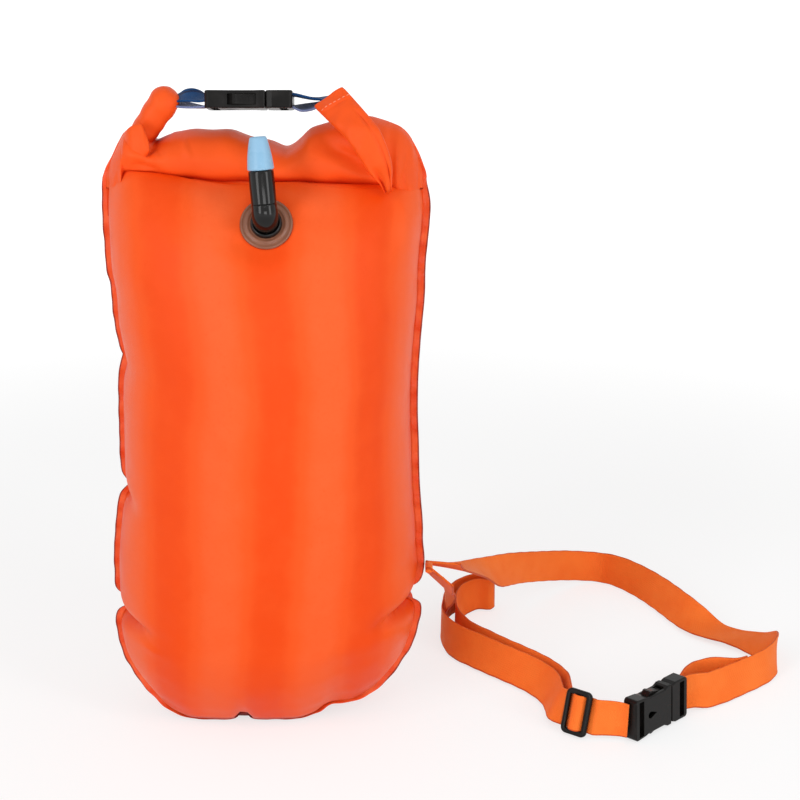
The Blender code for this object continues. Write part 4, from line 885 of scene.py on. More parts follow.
# Across the weld from the panels out, as a share of its width, and how thick it is there
WELD_SECTION = [
    (-WELD_MARGIN, 0.9), (0.05, 1.0), (0.16, 1.5), (0.28, 1.0), (0.50, 0.92), (0.72, 1.0), (0.90, 0.95),
    (0.985, 0.7),
]


def weld_rings():
    """Sections of the strip, all along its outline from one end of the roll round to the other."""
    outline = list(reversed(LEFT_SIDE + WELD_LEFT_END)) + FOOT[1:-1] + RIGHT_SIDE + WELD_RIGHT_END
    outer = smooth_line(np.array(outline) / 1000, WELD_STEP)
    out, up = outward(outer), upright(outer[:, 1])
    width = np.interp(outer[:, 1], *WELD_NARROWS)[:, None] * np.stack([np.ones(len(outer)), up], axis=1)
    inset = out * WELD_WIDTH * width
    inner = outer - inset
    x, z = inner.T
    move_x, move_z = nip_reach(x, z, *panel_edges(x, z))[:2]
    place = along_line(outer)
    wave = 0.00055 * np.sin(place * 430 + 0.8 * np.sin(place * 47)) + 0.0004 * np.sin(place * 233 + 1.2)
    wave = wave * (0.25 + 0.75 * up) * 1.6
    seam = weld_line(z)
    forward = (1 - up) * np.abs(out[:, 1]) * WELD_WIDTH
    near, far = [], []
    for share, thick in WELD_SECTION:
        flat = inner + inset * share
        tighten = 1 + 0.10 * share
        across = flat[:, 0] + move_x * tighten
        height = np.maximum(flat[:, 1] + move_z * tighten + (1 - up) * 0.0002, WELD_FLOOR_GAP)
        y = seam - forward * max(share, 0) + wave * np.clip(share + 0.1, 0, 1) ** 1.3
        half = WELD_THICKNESS * thick / 2
        near.append(np.stack([across, y - half, height], axis=1))
        far.append(np.stack([across, y + half, height], axis=1))
    return np.stack(near + far[::-1], axis=1)


def weld_finish():
    """Fused cloth: glossier, pressed with the fine ribs of the welding bar.
    Its outer edge is darker with painted shade.
    """
    material, tree, shader = new_finish("welded_edge_skin", Roughness=0.34, Specular_IOR_Level=0.25)
    across, along = flat_measures(tree)
    whole = WELD_WIDTH * (1 + WELD_MARGIN)
    across = maths(tree, "PINGPONG", across, whole + WELD_THICKNESS / 2)
    ribs = maths(tree, "MULTIPLY", ripple(tree, across, 0.0011), ripple(tree, along, 0.0012))
    shine = blotches(tree, 90)
    # Painted shade along the strip's outer edge
    from_outer_edge = maths(tree, "ABSOLUTE", maths(tree, "SUBTRACT", across, whole))
    rim = between(tree, from_outer_edge, 0.0004, 0.0014, 1.0, 0.0)
    plain = blend_colours(tree, between(tree, shine, 0.35, 0.7), WELD_ORANGE, WELD_LIGHT)
    link_finish(tree, shader, blend_colours(tree, rim, plain, WELD_EDGE_SHADE),
                between(tree, shine, 0.3, 0.7, 0.24, 0.42), ribs, 0.35, 0.00012)
    return material


weld = skin("welded_edge_strip", weld_rings(), 0)
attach(weld, "bag")
finish_piece(weld, weld_finish(), "welded_edge", "side_seam_left", "side_seam_right")

# Rolled mouth. The open end of the dry compartment is pressed flat and rolled down to the front.
# Behind and at its ends the bag's own cloth runs up into it, so only the front has a crease.

ROLL_POINTS = 72
ROLL_STEP = 0.9
# Place across, top, and half depth in front, in millimetres
ROLL_STATIONS = [
    (-104.4, 391, 2.2), (-103.4, 396, 5.0), (-101.4, 402.2, 9.5), (-98.9, 408.8, 13.5), (-95.0, 416.4, 17.0),
    (-91.4, 422.4, 18.4), (-90.6, 423.4, 19.4), (-89.8, 424.2, 22.2), (-87.5, 425.2, 23.6),
    (-83.0, 425.4, 24.2), (-78.5, 423.4, 24.6), (-75.2, 420.8, 25.2), (-72.0, 418.4, 25.8),
    (-69.2, 417.4, 26.4), (-65.8, 418.6, 27.5), (-61.0, 420.8, 28.0), (-56.5, 422.9, 28.0),
    (-43.0, 425.0, 28.5), (-23.7, 424.2, 29.0), (-10.4, 421.6, 29.0), (5.9, 416.3, 28.5), (15.5, 413.2, 28.0),
    (21.0, 414.8, 28.0), (27.0, 418.9, 28.0), (34.4, 425.6, 28.0), (43.1, 428.6, 28.0), (58.0, 432.0, 27.5),
    (71.7, 434.4, 26.5), (80.5, 433.0, 25.5), (88.5, 430.0, 24.0), (95.5, 426.0, 21.5), (101.4, 419.0, 18.0),
    (104.6, 410.0, 14.0), (107.6, 402.0, 9.0), (108.9, 396.0, 5.0), (109.6, 389.0, 2.2),
]
# Where the bag's cloth gives over to the roll at its left end and at its right end, in millimetres
ROLL_LEFT_EDGE, ROLL_RIGHT_EDGE = (-91.2, -89.4), (84.0, 95.0)
TURNED_IN_LEFT, TURNED_IN_RIGHT = (-101, -92.5), (94, 103)
SHOULDER_FOOT, SHOULDER_RISE = 0.366, 0.022
SHOULDER_TOP = 0.386
ROLL_TUCK = 0.004
# The roll's section is squarer below than above
ROLL_SQUARE, ROLL_ROUND = 2.9, 2.15
# The bag's cloth stands off the panel behind it, and sinks into it at its foot, over this rise
CLOTH_LIFT, CLOTH_SINK, SINK_RISE = 0.0004, 0.0030, 0.019
CLOTH_LEAST = 0.0012
# Pulls of the gathered cloth, in the same columns as the panel's folds
ROLL_CREASES = [
    ((-50.5, 424), (-44.5, 412), 1.9, 0.9), ((-47.5, 424), (-41, 414), 2.5, -0.6),
    ((-86, 408), (-66, 404), 2.6, -1.3), ((-86, 413), (-62, 412), 3.0, 0.9),
    ((-86, 402), (-72, 401), 2.2, 0.9), ((-84, 421), (-72, 412), 2.6, -0.9),
    ((-69, 420), (-74, 410), 2.2, -2.2), ((-69, 418), (-60, 410), 2.4, -1.0),
    ((16, 414), (12, 404), 4.0, -0.8), ((30, 414), (24, 400), 6.0, 0.7),
    ((80, 394), (40, 411), 4.2, 1.6), ((78, 392), (50, 398), 3.0, -1.0),
    ((82, 397), (44, 425), 7.0, -7.0), ((58, 410), (36, 423), 8.0, -3.0),
    ((66, 399), (48, 406), 2.6, -0.8), ((-30, 398), (20, 396.5), 3.5, -0.9),
    ((-89, 404), (-64, 402), 5.0, -2.4), ((-89, 414), (-87, 402), 2.4, -1.4),
    ((88, 428), (84, 402), 3.0, -2.6), ((98, 412), (94, 394), 2.6, -1.6),
    ((93, 424), (92, 384), 3.2, 1.8), ((89, 420), (88, 386), 2.6, -1.6),
    ((98, 420), (104, 392), 4.0, -0.8),
]


def panel_reach(x, z):
    """How far the panels stand out at a place of the front view."""
    height = np.minimum(z * BAG_TOP / np.maximum(crease_height(x), BAG_TOP), BAG_TOP)
    low, high = panel_edges(x, z)[:2]
    side = np.clip((2 * x - low - high) / (high - low), -1, 1)
    return bag_level(height)[0] * (1 - np.abs(side) ** ARC_POWER) ** (1 / ARC_POWER)


def ease(value, low, high):
    """0 up to low and 1 from high on, with a soft rise between."""
    t = np.clip((value - low) / (high - low), 0, 1)
    return t * t * (3 - 2 * t)


def roll_folds(x, z, facing):
    """The pulls on the side that faces the front, and a soft drape all round."""
    drape = 0.00045 * np.sin(x * 150 + 2 * np.sin(x * 40)) + 0.0003 * np.sin(x * 265 + z * 120)
    return creases(x, z, ROLL_CREASES) * facing + drape


def bag_cloth(x, top, half, up, out):
    """The bag's own cloth where it runs up into the roll, as how far it stands out and its height."""
    left_in, right_in = ease(x * 1000, *TURNED_IN_LEFT), 1 - ease(x * 1000, *TURNED_IN_RIGHT)
    turned_in = left_in if x < 0 else right_in
    low = min(SHOULDER_FOOT + SHOULDER_RISE * turned_in, top - 0.010)
    z = (top + low) / 2 + (top - low) / 2 * up
    shoulder = min(SHOULDER_TOP, top - 0.003)
    panel = panel_reach(np.full_like(z, x), np.minimum(z, shoulder))
    lift = CLOTH_LIFT - CLOTH_SINK * (1 - ease(z, low, low + SINK_RISE))
    cap = np.clip((z - shoulder) / max(top - shoulder, 1e-4), 0, 1)
    over = np.maximum(panel, half * 0.72) * (1 - cap ** 2.0) ** 0.5
    y = np.maximum(np.where(z < shoulder, panel, over) + lift, CLOTH_LEAST)
    return y * np.clip(np.abs(out) * 2.4, 0, 1), z


def roll_rings():
    """Sections across the roll, where its ends and its back give over to the bag's own cloth."""
    table = smooth_line(ROLL_STATIONS, ROLL_STEP)
    table = table[np.concatenate([[True], np.diff(table[:, 0]) > 0.05])]
    theta = np.linspace(-pi, pi, ROLL_POINTS, endpoint=False)
    up, out = np.sin(theta), np.cos(theta)
    power = 2 / np.where(up < 0, ROLL_SQUARE, ROLL_ROUND)
    rings = []
    for x, top, half in table / 1000:
        low = float(crease_height(x)) - ROLL_TUCK
        roll_z, roll_y = (top + low) / 2 + (top - low) / 2 * rounded(up, power), half * np.abs(out) ** power
        cloth_y, cloth_z = bag_cloth(x, top, half, up, out)
        at_end = max(1 - ease(x * 1000, *ROLL_LEFT_EDGE), ease(x * 1000, *ROLL_RIGHT_EDGE))
        near_top = ease(up, 0.55, 1.0)
        share = np.where(out > 0, at_end, 1.0) * (1 - near_top) + 0.5 * (1.0 + at_end) * near_top
        z = roll_z * (1 - share) + cloth_z * share
        y = roll_y * (1 - share) + cloth_y * share
        fold = roll_folds(np.full_like(z, x), z, np.clip(out * 1.5, 0, 1)) * min(half / 0.012, 1.0)
        normal = unit(np.stack([out * (top - low), up * half * 1.6], axis=1))
        y = y + fold * normal[:, 0] * np.sign(out)
        z = z + fold * normal[:, 1]
        rings.append(np.stack([np.full_like(z, x), -np.sign(out) * np.abs(y), z], axis=1))
    return np.stack(rings)


roll = skin("rolled_mouth_cloth", roll_rings(), ROLL_POINTS // 2)
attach(roll, "bag")
finish_piece(roll, rolled_fabric, "coated_fabric", "rolled_mouth")

# Flap. The roll's outer turn ends at the left in a loose flap of the same cloth. Its root lies on
# the roll, and its free edge stands off the bent end behind it.

# Root and free edge as x, y, z in millimetres
FLAP_ROOT = [
    (-90.2, -16.0, 407.0), (-87.5, -19.6, 406.0), (-84.0, -21.6, 406.5), (-80.5, -22.4, 408.0),
    (-77.0, -22.8, 410.0), (-74.0, -22.8, 412.0), (-72.2, -22.4, 413.6), (-71.0, -21.6, 415.0),
]
FLAP_EDGE = [
    (-89.4, -11.0, 424.6), (-86.4, -14.5, 428.6), (-82.2, -17.2, 431.8), (-77.6, -18.6, 432.8),
    (-75.4, -19.6, 430.4), (-73.2, -21.2, 425.8), (-71.6, -23.4, 421.0), (-70.8, -26.0, 417.0),
]
FLAP_ROWS, FLAP_COLUMNS = 46, 20
FLAP_SWELL, FLAP_HALF = 0.0022, 0.0006
FLAP_FACE, FLAP_THROUGH = np.array([0.0, -1.0, 0.15]), np.array([[0.0, 1.0, 0.12]])


def even_line(points, step, shares):
    """The points at shares of a smooth line's whole length, from millimetres to metres."""
    line = smooth_line(points, step) / 1000
    return at_places(line, shares * along_line(line)[-1])


def add_flap():
    places = np.linspace(0, 1, FLAP_ROWS)
    t = np.linspace(0, 1, FLAP_COLUMNS)
    thin = (FLAP_HALF * np.minimum(1.0, (1.02 - t) * 12))[:, None] * FLAP_THROUGH
    rings = []
    for place, root, edge in zip(places, *(even_line(line, 0.8, places) for line in (FLAP_ROOT, FLAP_EDGE))):
        swell = np.sin(pi * t) * FLAP_SWELL + 0.0005 * np.sin(place * 17 + t * 5) * t
        middle = root * (1 - t[:, None]) + edge * t[:, None] + np.outer(swell, FLAP_FACE)
        rings.append(np.concatenate([middle - thin, (middle + thin)[::-1]]))
    flap = skin("roll_end_flap", np.stack(rings))
    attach(flap, "bag")
    finish_piece(flap, rolled_fabric, "coated_fabric", "rolled_mouth")


add_flap()

# Left end of the roll. The stiffened roll is bent up into the handle here. It is a wound tube of
# the same cloth, rounded over at its end, that comes out behind the roll's last turn.

# Middle line as x, y, z, with the half width and half depth there, in millimetres
HORN_STATIONS = [
    (-90.0, 4.0, 399.0, 8.0, 11.0), (-87.0, 3.5, 407.0, 9.2, 12.0), (-82.0, 2.5, 416.5, 9.4, 12.2),
    (-76.3, 1.5, 425.5, 9.2, 12.4), (-70.6, 1.0, 434.0, 9.4, 12.6), (-65.8, 1.0, 440.6, 9.9, 12.8),
    (-63.0, 1.0, 444.6, 9.9, 12.6),
]
HORN_POINTS, HORN_STEP = 48, 1.4
HORN_POWER = 2.25
# Rings over its rounded end, which stands out by this share of its half width
HORN_END_RINGS, HORN_END = 9, 0.92


def horn_wrinkles(place, theta):
    """Wound layers that show as long soft ridges, and short folds inside the bend."""
    long = 0.00035 * np.sin(3 * theta + 1.2 + 1.5 * place) + 0.0002 * np.sin(5 * theta - 2 * place)
    inside = np.clip(np.cos(theta), 0, 1)
    bend = 0.0007 * np.exp(-((place - 0.42) / 0.16) ** 2) * np.sin(place * 46) * inside
    return long + bend + 0.00025 * np.sin(place * 30 + theta)


def horn_rings():
    """Sections of the bent tube, and the smaller ones that close its end."""
    table = smooth_line(HORN_STATIONS, HORN_STEP) / 1000
    line = table[:, :3]
    travel = travel_along(line)
    side = unit(np.cross(np.array([0.0, 1.0, 0.0]), travel))
    depth = unit(np.cross(travel, side))
    stations = list(zip(line, side, depth, table[:, 3], table[:, 4]))
    tip, side, depth, half_width, half_depth = stations[-1]
    for k in range(1, HORN_END_RINGS + 1):
        turn = pi / 2 * k / HORN_END_RINGS
        shrink = max(cos(turn) ** 0.75, 0.04)
        middle = tip + travel[-1] * half_width * HORN_END * sin(turn)
        stations.append((middle, side, depth, half_width * shrink, half_depth * shrink))
    theta = full_turn(HORN_POINTS)
    across, through = rounded(np.cos(theta), 2 / HORN_POWER), rounded(np.sin(theta), 2 / HORN_POWER)
    rings = []
    for i, (middle, side, depth, half_width, half_depth) in enumerate(stations):
        grow = horn_wrinkles(i / len(line), theta)
        rings.append(middle + np.outer(across * (half_width + grow), side)
                     + np.outer(through * (half_depth + grow), depth))
    return np.stack(rings)


horn = skin("left_roll_end_cloth", horn_rings())
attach(horn, "bag")
finish_piece(horn, rolled_fabric, "coated_fabric", "left_roll_end")

# Right end of the roll. The flat mouth is folded into a strip that crosses the roll's front, from
# a tight gather on the shoulder to a stitched tip, where the handle's webbing is sewn in.

# The strip's two edges as x, y, z in millimetres, from the gather to the tip
STRIP_LEFT_EDGE = [
    (82.5, -31.0, 391.5), (80.3, -34.0, 396.5), (71.3, -36.5, 407.5), (59.8, -35.0, 424.6),
    (50.0, -27.5, 433.2), (43.7, -20.0, 437.8), (38.1, -12.0, 441.6),
]
STRIP_RIGHT_EDGE = [
    (88.2, -30.5, 392.5), (88.6, -34.0, 398.0), (88.2, -37.5, 411.9), (81.6, -36.5, 430.5),
    (76.0, -32.0, 437.5), (70.0, -26.0, 443.5), (57.3, -12.0, 455.0),
]
# Thickness in millimetres at shares of its length
STRIP_THICKNESS = [(0.0, 7.0), (0.12, 8.6), (0.35, 9.2), (0.6, 8.0), (0.85, 5.6), (1.0, 4.6)]
STRIP_ROWS, STRIP_POINTS = 74, 64
STRIP_SQUARE, STRIP_ROUND = 4.6, 2.6
# How the tip is closed: what is left of its thickness, and how far it stands out
STRIP_TIP = [(0.93, 0.0007), (0.72, 0.0011), (0.35, 0.0012)]
# Where the hem starts, as a share of the length, and the ring that its stitches run along
STRIP_HEM, STITCH_ROW = 0.885, 66
THREAD_DARK, THREAD_LIGHT = (0.93, 0.20, 0.07, 1), (0.98, 0.36, 0.20, 1)


def bump_at(value, middle, width):
    """A soft bump, 1 at its middle."""
    return np.exp(-((value - middle) / width) ** 2)


def strip_relief(place, across):
    """How far the strip's front stands out, at a share of its length: its pleats, seam, layers and hem."""
    pleat = 0.0011 * (1 - ease(place, 0.0, 0.45)) * np.sin(across * 7.5 + 1.0 + 2 * place)
    seam = -0.0019 * bump_at(across, 0.66 - 0.12 * place, 0.06)
    seam = seam * ease(place, 0.05, 0.2) * (1 - ease(place, 0.66, 0.80))
    layer = 0.0010 * ease(across, 0.56, 0.72) * (1 - ease(place, 0.60, 0.80))
    crown = 0.0007 * (1 - across ** 2) * ease(place, 0.2, 0.6) * (1 - ease(place, 0.9, 1.0))
    soft = 0.0003 * np.sin(place * 24 + across * 3.0) + 0.00025 * np.sin(place * 41 - across * 5.0)
    hem = 0.0009 * ease(place, STRIP_HEM, STRIP_HEM + 0.01) - 0.0005 * bump_at(place, STRIP_HEM, 0.012)
    pocket = -0.0030 * bump_at(across, -0.45, 0.42) * bump_at(place, 0.13, 0.085)
    lip = 0.0010 * bump_at(across, -0.30, 0.5) * bump_at(place, 0.27, 0.045)
    return pleat + seam - layer + crown + soft + hem + pocket + lip


def strip_rings():
    """Sections of the strip between its two edges, and the smaller ones that close its tip."""
    places = np.linspace(0, 1, STRIP_ROWS)
    left, right = (even_line(edge, 1.0, places) for edge in (STRIP_LEFT_EDGE, STRIP_RIGHT_EDGE))
    middle, half = (left + right) / 2, (right - left) / 2
    travel = travel_along(middle)
    face = unit(np.cross(travel, half))
    face *= np.where(face[:, 1:2] > 0, -1, 1)
    thick = np.interp(places, *np.array(STRIP_THICKNESS).T) / 2000
    theta = full_turn(STRIP_POINTS)
    across, rise = rounded(np.cos(theta), 2 / STRIP_SQUARE), rounded(np.sin(theta), 2 / STRIP_ROUND)
    in_front = np.clip(np.sin(theta) * 2, 0, 1)
    rings = []
    for i, place in enumerate(places):
        lift = strip_relief(place, across) * in_front
        pull = 1.0 - 0.02 * max(place - 0.985, 0.0) / 0.015
        rings.append(middle[i] + np.outer(across * pull, half[i]) + np.outer(rise * thick[i] + lift, face[i]))
    tip = rings[-1]
    up = (tip - tip.mean(axis=0)) @ face[-1]
    for left_over, out in STRIP_TIP:
        rings.append(tip - np.outer(up * (1 - left_over), face[-1]) + travel[-1] * out)
    return np.stack(rings)


# Thread stitches: their length, the gap between them and their half width
STITCH, STITCH_GAP, STITCH_HALF = 0.0021, 0.0012, 0.00036
# Along a stitch: the share of its length, how full it is and how high it lies
STITCH_RINGS = [
    (0.0, 0.25, -0.3), (0.08, 0.7, 0.0), (0.28, 1.0, 0.3), (0.5, 1.05, 0.4), (0.72, 1.0, 0.3),
    (0.92, 0.7, 0.0), (1.0, 0.25, -0.3),
]
STITCH_POINTS = 8


def stitch_row(name, line, out):
    """A row of thread stitches that lie on a surface, as small closed beads in one mesh."""
    points, faces = [], []
    for start in np.arange(STITCH_GAP, along_line(line)[-1] - STITCH - STITCH_GAP / 2, STITCH + STITCH_GAP):
        spine = at_places(line, start + STITCH * np.array([place for place, full, high in STITCH_RINGS]))
        side = unit(np.cross(unit(spine[-1] - spine[0]), out))
        base = len(points)
        for middle, (place, full, high) in zip(spine, STITCH_RINGS):
            radius, high = STITCH_HALF * full, STITCH_HALF * high
            points += [tuple(middle + out * (high + radius * 0.8 * sin(t)) + side * radius * cos(t))
                       for t in full_turn(STITCH_POINTS)]
        for first in range(base, len(points) - STITCH_POINTS, STITCH_POINTS):
            for k in range(STITCH_POINTS):
                a, b = first + k, first + (k + 1) % STITCH_POINTS
                faces.append((a, b, b + STITCH_POINTS, a + STITCH_POINTS))
        last = len(points) - STITCH_POINTS
        faces += [tuple(range(base + STITCH_POINTS - 1, base - 1, -1)), tuple(range(last, len(points)))]
    return closed_piece(name, points, faces)


def thread_finish():
    """Twisted polyester thread, paler than the cloth."""
    material, tree, shader = new_finish("sewing_thread_twist", Roughness=0.6, Sheen_Weight=0.1)
    twist = blotches(tree, 2200, 1.0)
    link_finish(tree, shader, blend_colours(tree, twist, THREAD_DARK, THREAD_LIGHT),
                between(tree, twist, 0.3, 0.7, 0.5, 0.7), twist, 0.4, 0.0001)
    return material


def add_strip():
    rings = strip_rings()
    strip = skin("right_roll_end_cloth", rings, STRIP_POINTS // 4)
    row = rings[STITCH_ROW, 2:STRIP_POINTS // 2 - 1]
    out = unit(np.cross(row[-1] - row[0], rings[STITCH_ROW + 4, 10] - rings[STITCH_ROW - 4, 10]))
    out = out if out[1] < 0 else -out
    stitches = stitch_row("strip_stitches", row + out * 0.00012, out)
    for piece, finish in ((strip, rolled_fabric), (stitches, thread_finish())):
        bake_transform(piece)
        finish_piece(piece, finish, "coated_fabric", "right_roll_end")


add_strip()

# Stiffeners. Two thin strips of clear plastic welded inside the mouth, which the roll hides.
# They keep the mouth straight while it is rolled down.

CLEAR_GREY, CLEAR_PALE = (0.62, 0.64, 0.66, 1), (0.82, 0.84, 0.86, 1)


def clear_strip_finish():
    """Clear plastic sheet with a faint haze in it."""
    material, tree, shader = new_finish("clear_plastic_skin", Roughness=0.22, Transmission_Weight=0.6)
    haze = blotches(tree, 60)
    tree.links.new(blend_colours(tree, haze, CLEAR_GREY, CLEAR_PALE), shader.inputs["Base Color"])
    tree.links.new(between(tree, haze, 0.3, 0.7, 0.14, 0.32), shader.inputs["Roughness"])
    return material


def finish_node(name, finish):
    """Gives a part of the model whose shape is right its finish."""
    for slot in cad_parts[name].material_slots:
        slot.material = finish


for name in ("mouth_stiffener_front", "mouth_stiffener_back"):
    finish_node(name, clear_strip_finish())

# Handle's webbing. One narrow blue tape on each side: it leaves the roll's end, wraps the buckle's
# bar and comes back below, where it is sewn down. The under strand shows its paler, worn face.

TAPE_WIDTH = 0.0240
TAPE_THICKNESS = 0.0013
TAPE_STEP = 1.2
TAPE_DISH = 0.0009
# Each finish's face, its darker blotches and its selvedges
TAPE_BLUE = (0.003, 0.058, 0.190, 1), (0.002, 0.026, 0.095, 1), (0.003, 0.014, 0.055, 1)
TAPE_WORN = (0.23, 0.27, 0.45, 1), (0.10, 0.14, 0.30, 1), (0.05, 0.07, 0.18, 1)

blue_tape = webbing_finish("blue_tape_weave", *TAPE_BLUE, TAPE_WIDTH / 2)
worn_tape = webbing_finish("blue_tape_worn", *TAPE_WORN, TAPE_WIDTH / 2)

# Each strand: middle as x, y, z in millimetres, its width, and how far its front edge is turned down
LEFT_OVER = [
    (-57.5, 1.5, 445.4, 14, 4), (-53.4, 1.0, 446.8, 15, 10), (-49.8, 0.4, 448.2, 16, 17),
    (-45.4, 0.2, 448.6, 17, 19), (-40.6, 0.4, 447.8, 18, 14), (-36.4, 0.7, 446.8, 20, 2),
    (-33.2, 1.0, 446.6, 22, -9), (-31.4, 1.0, 446.6, 22, -14),
]
LEFT_UNDER = [
    (-56.0, 1.5, 442.6, 14, 4), (-52.4, 1.2, 442.2, 16, 4), (-46.0, 1.0, 441.4, 18, -2),
    (-40.0, 1.0, 440.8, 20, -8), (-35.6, 1.0, 440.6, 22, -12), (-32.6, 1.0, 441.2, 22, -14),
    (-31.2, 1.0, 442.4, 22, -14),
]
RIGHT_OVER = [
    (17.2, 1.0, 447.2, 22, -14), (19.6, 1.0, 448.0, 22, -14), (24.0, 1.0, 448.4, 22, -14),
    (31.0, 0.8, 447.2, 21, -12), (38.0, 0.0, 446.4, 19, -9), (44.0, -1.5, 446.8, 17, -4),
    (50.0, -5.0, 447.6, 16, 6),
]
RIGHT_UNDER = [
    (17.4, 1.0, 442.6, 22, -14), (19.4, 1.0, 441.6, 22, -13), (23.0, 1.0, 440.6, 21, -8),
    (29.0, 0.8, 440.0, 20, 2), (36.0, 0.0, 441.0, 19, 2), (42.0, -1.5, 443.0, 18, -2),
    (49.0, -5.0, 445.8, 16, 2),
]
# Name, strand, finish, part of the model, and the body that it rides on
TAPE_STRANDS = [
    ("handle_tape_left_over", LEFT_OVER, blue_tape, "top_strap_left", "bag"),
    ("handle_tape_left_under", LEFT_UNDER, worn_tape, "top_strap_left", "bag"),
    ("handle_tape_right_over", RIGHT_OVER, blue_tape, "top_strap_right", "top_plug_and_strap"),
    ("handle_tape_right_under", RIGHT_UNDER, worn_tape, "top_strap_right", "top_plug_and_strap"),
]


def tape_rings(stations):
    """The tape is gathered toward the roll's end, and dished along its middle."""
    samples = smooth_line(stations, TAPE_STEP)
    line, half = samples[:, :3] / 1000, samples[:, 3] / 2000
    turn = np.radians(samples[:, 4:5])
    across, face = strip_sides(line, np.array([0.0, -1.0, 0.0]) * np.cos(turn)
                               + np.array([0.0, 0.0, -1.0]) * np.sin(turn))
    place = along_line(line)
    rings = []
    for side, up in WEBBING_SECTION:
        dish = TAPE_DISH * (1 - side ** 2) * np.sin(pi * np.linspace(0, 1, len(line)))
        edge = side * (half + 0.0001 * np.sin(place * 600 + side * 2))
        rings.append(line + across * edge[:, None] + face * (up * TAPE_THICKNESS / 2 + dish)[:, None])
    return np.stack(rings, axis=1)


for name, stations, finish, node, body in TAPE_STRANDS:
    tape = skin(name, tape_rings(stations), SECTION_MIDDLE)
    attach(tape, body)
    finish_piece(tape, finish, "blue_webbing", node)

# Side-release buckles, one in the handle and one in the belt. Black acetal, moulded in a socket
# and a plug with two sprung arms whose finger pads stand in the socket's windows.

ACETAL_BLACK = (0.0060, 0.0054, 0.0050, 1)
ACETAL_WORN = (0.020, 0.018, 0.017, 1)
ACETAL_ROUGHNESS = 0.30


def acetal_finish():
    """Moulded plastic: fine spark grain, soft flow marks, and a little wear in soft patches."""
    material, tree, shader = new_finish("black_acetal_skin", Roughness=ACETAL_ROUGHNESS,
                                        Specular_IOR_Level=0.16)
    grain = blotches(tree, 1500, 2.0, 0.5)
    flow = blotches(tree, 55, 3.0)
    worn = maths(tree, "MULTIPLY", between(tree, flow, 0.50, 0.78), 0.55)
    roughness = between(tree, flow, 0.25, 0.75, ACETAL_ROUGHNESS - 0.06, ACETAL_ROUGHNESS + 0.10)
    colour = blend_colours(tree, worn, ACETAL_BLACK, ACETAL_WORN)
    link_finish(tree, shader, colour, roughness, grain, 0.25, 0.00006)
    return material


black_acetal = acetal_finish()
for name in ("top_socket", "top_plug", "top_latch_back", "top_latch_front", "belt_socket", "belt_plug",
             "belt_latch_upper", "belt_latch_lower"):
    finish_node(name, black_acetal)

# Belt slider. A rounded frame with a middle bar, moulded in the same black acetal.
# The adjuster is sewn round its left side and the front webbing weaves over the middle bar.

SLIDER_HALF_WIDTH, SLIDER_CORNER = 0.01650, 0.0042
# Bar width on each side of the frame: right, top, left, bottom
SLIDER_BARS = (0.0042, 0.0042, 0.0034, 0.0042)
CORNER_STEPS, BAR_STEPS, BAR_POINTS = 10, 15, 20
BAR_POWER = 0.6
MIDDLE_BAR_HALF = 0.0012


def slider_corners():
    """Round the frame's corners: the corner's middle, the turn there, and how wide the bar is."""
    x, y = SLIDER_HALF_LENGTH - SLIDER_CORNER, SLIDER_HALF_WIDTH - SLIDER_CORNER
    for quarter, corner in enumerate(((x, y), (-x, y), (-x, -y), (x, -y))):
        before, after = SLIDER_BARS[quarter], SLIDER_BARS[(quarter + 1) % 4]
        for share in (k / CORNER_STEPS for k in range(CORNER_STEPS + 1)):
            yield np.array(corner), (quarter + share) * pi / 2, before * (1 - share) + after * share


def add_slider():
    """The frame is one bar swept round the corners, and the middle bar crosses it."""
    theta = full_turn(BAR_POINTS)
    across, rise = rounded(np.cos(theta), BAR_POWER), rounded(np.sin(theta), BAR_POWER)
    rings = []
    for corner, turn, bar in slider_corners():
        out = np.array([cos(turn), sin(turn)])
        flat = corner + out * (SLIDER_CORNER - bar / 2) + np.outer(across * bar / 2, out)
        rings.append(np.column_stack([flat, rise * SLIDER_HALF_THICKNESS]))
    index = np.arange(len(rings) * BAR_POINTS).reshape(-1, BAR_POINTS)
    along, around = np.roll(index, -1, axis=0), np.roll(index, -1, axis=1)
    faces = np.stack([index, around, np.roll(along, -1, axis=1), along], axis=-1).reshape(-1, 4)
    turned, middle = np.array(SLIDER.to_3x3()).T, np.array(SLIDER.translation)
    points = np.concatenate(rings) @ turned + middle
    frame_ring = closed_piece("belt_slider_frame", points.tolist(), faces.tolist())

    # The middle bar widens and thickens a little where it meets the frame
    rings = []
    for step in np.linspace(-1, 1, BAR_STEPS):
        place = np.full(BAR_POINTS, step * (SLIDER_HALF_WIDTH - SLIDER_BARS[1] + 0.0003))
        wide = MIDDLE_BAR_HALF * (1 + 0.25 * abs(step) ** 6)
        high = SLIDER_HALF_THICKNESS * (0.86 + 0.1 * abs(step) ** 6)
        rings.append(np.stack([across * wide, place, rise * high], axis=1))
    middle_bar = skin("belt_slider_bar", np.stack(rings) @ turned + middle)
    for piece in (frame_ring, middle_bar):
        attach(piece, "slider")
        finish_piece(piece, black_acetal, "black_acetal", "belt_slider")


add_slider()

# Valve. A smoky vinyl disc is welded to the front panel over a backing ring. A glossy black elbow
# turns in its collar, and carries the lock sleeve and the pale blue mouthpiece.

FLANGE_RADIUS, FLANGE_THICKNESS = 0.0175, 0.0016
COLLAR_RADIUS, COLLAR_HEIGHT = 0.0102, 0.0034
STEM_RADIUS, STEM_BEND, STEM_STAND_OFF = 0.0082, 0.0090, 0.0050
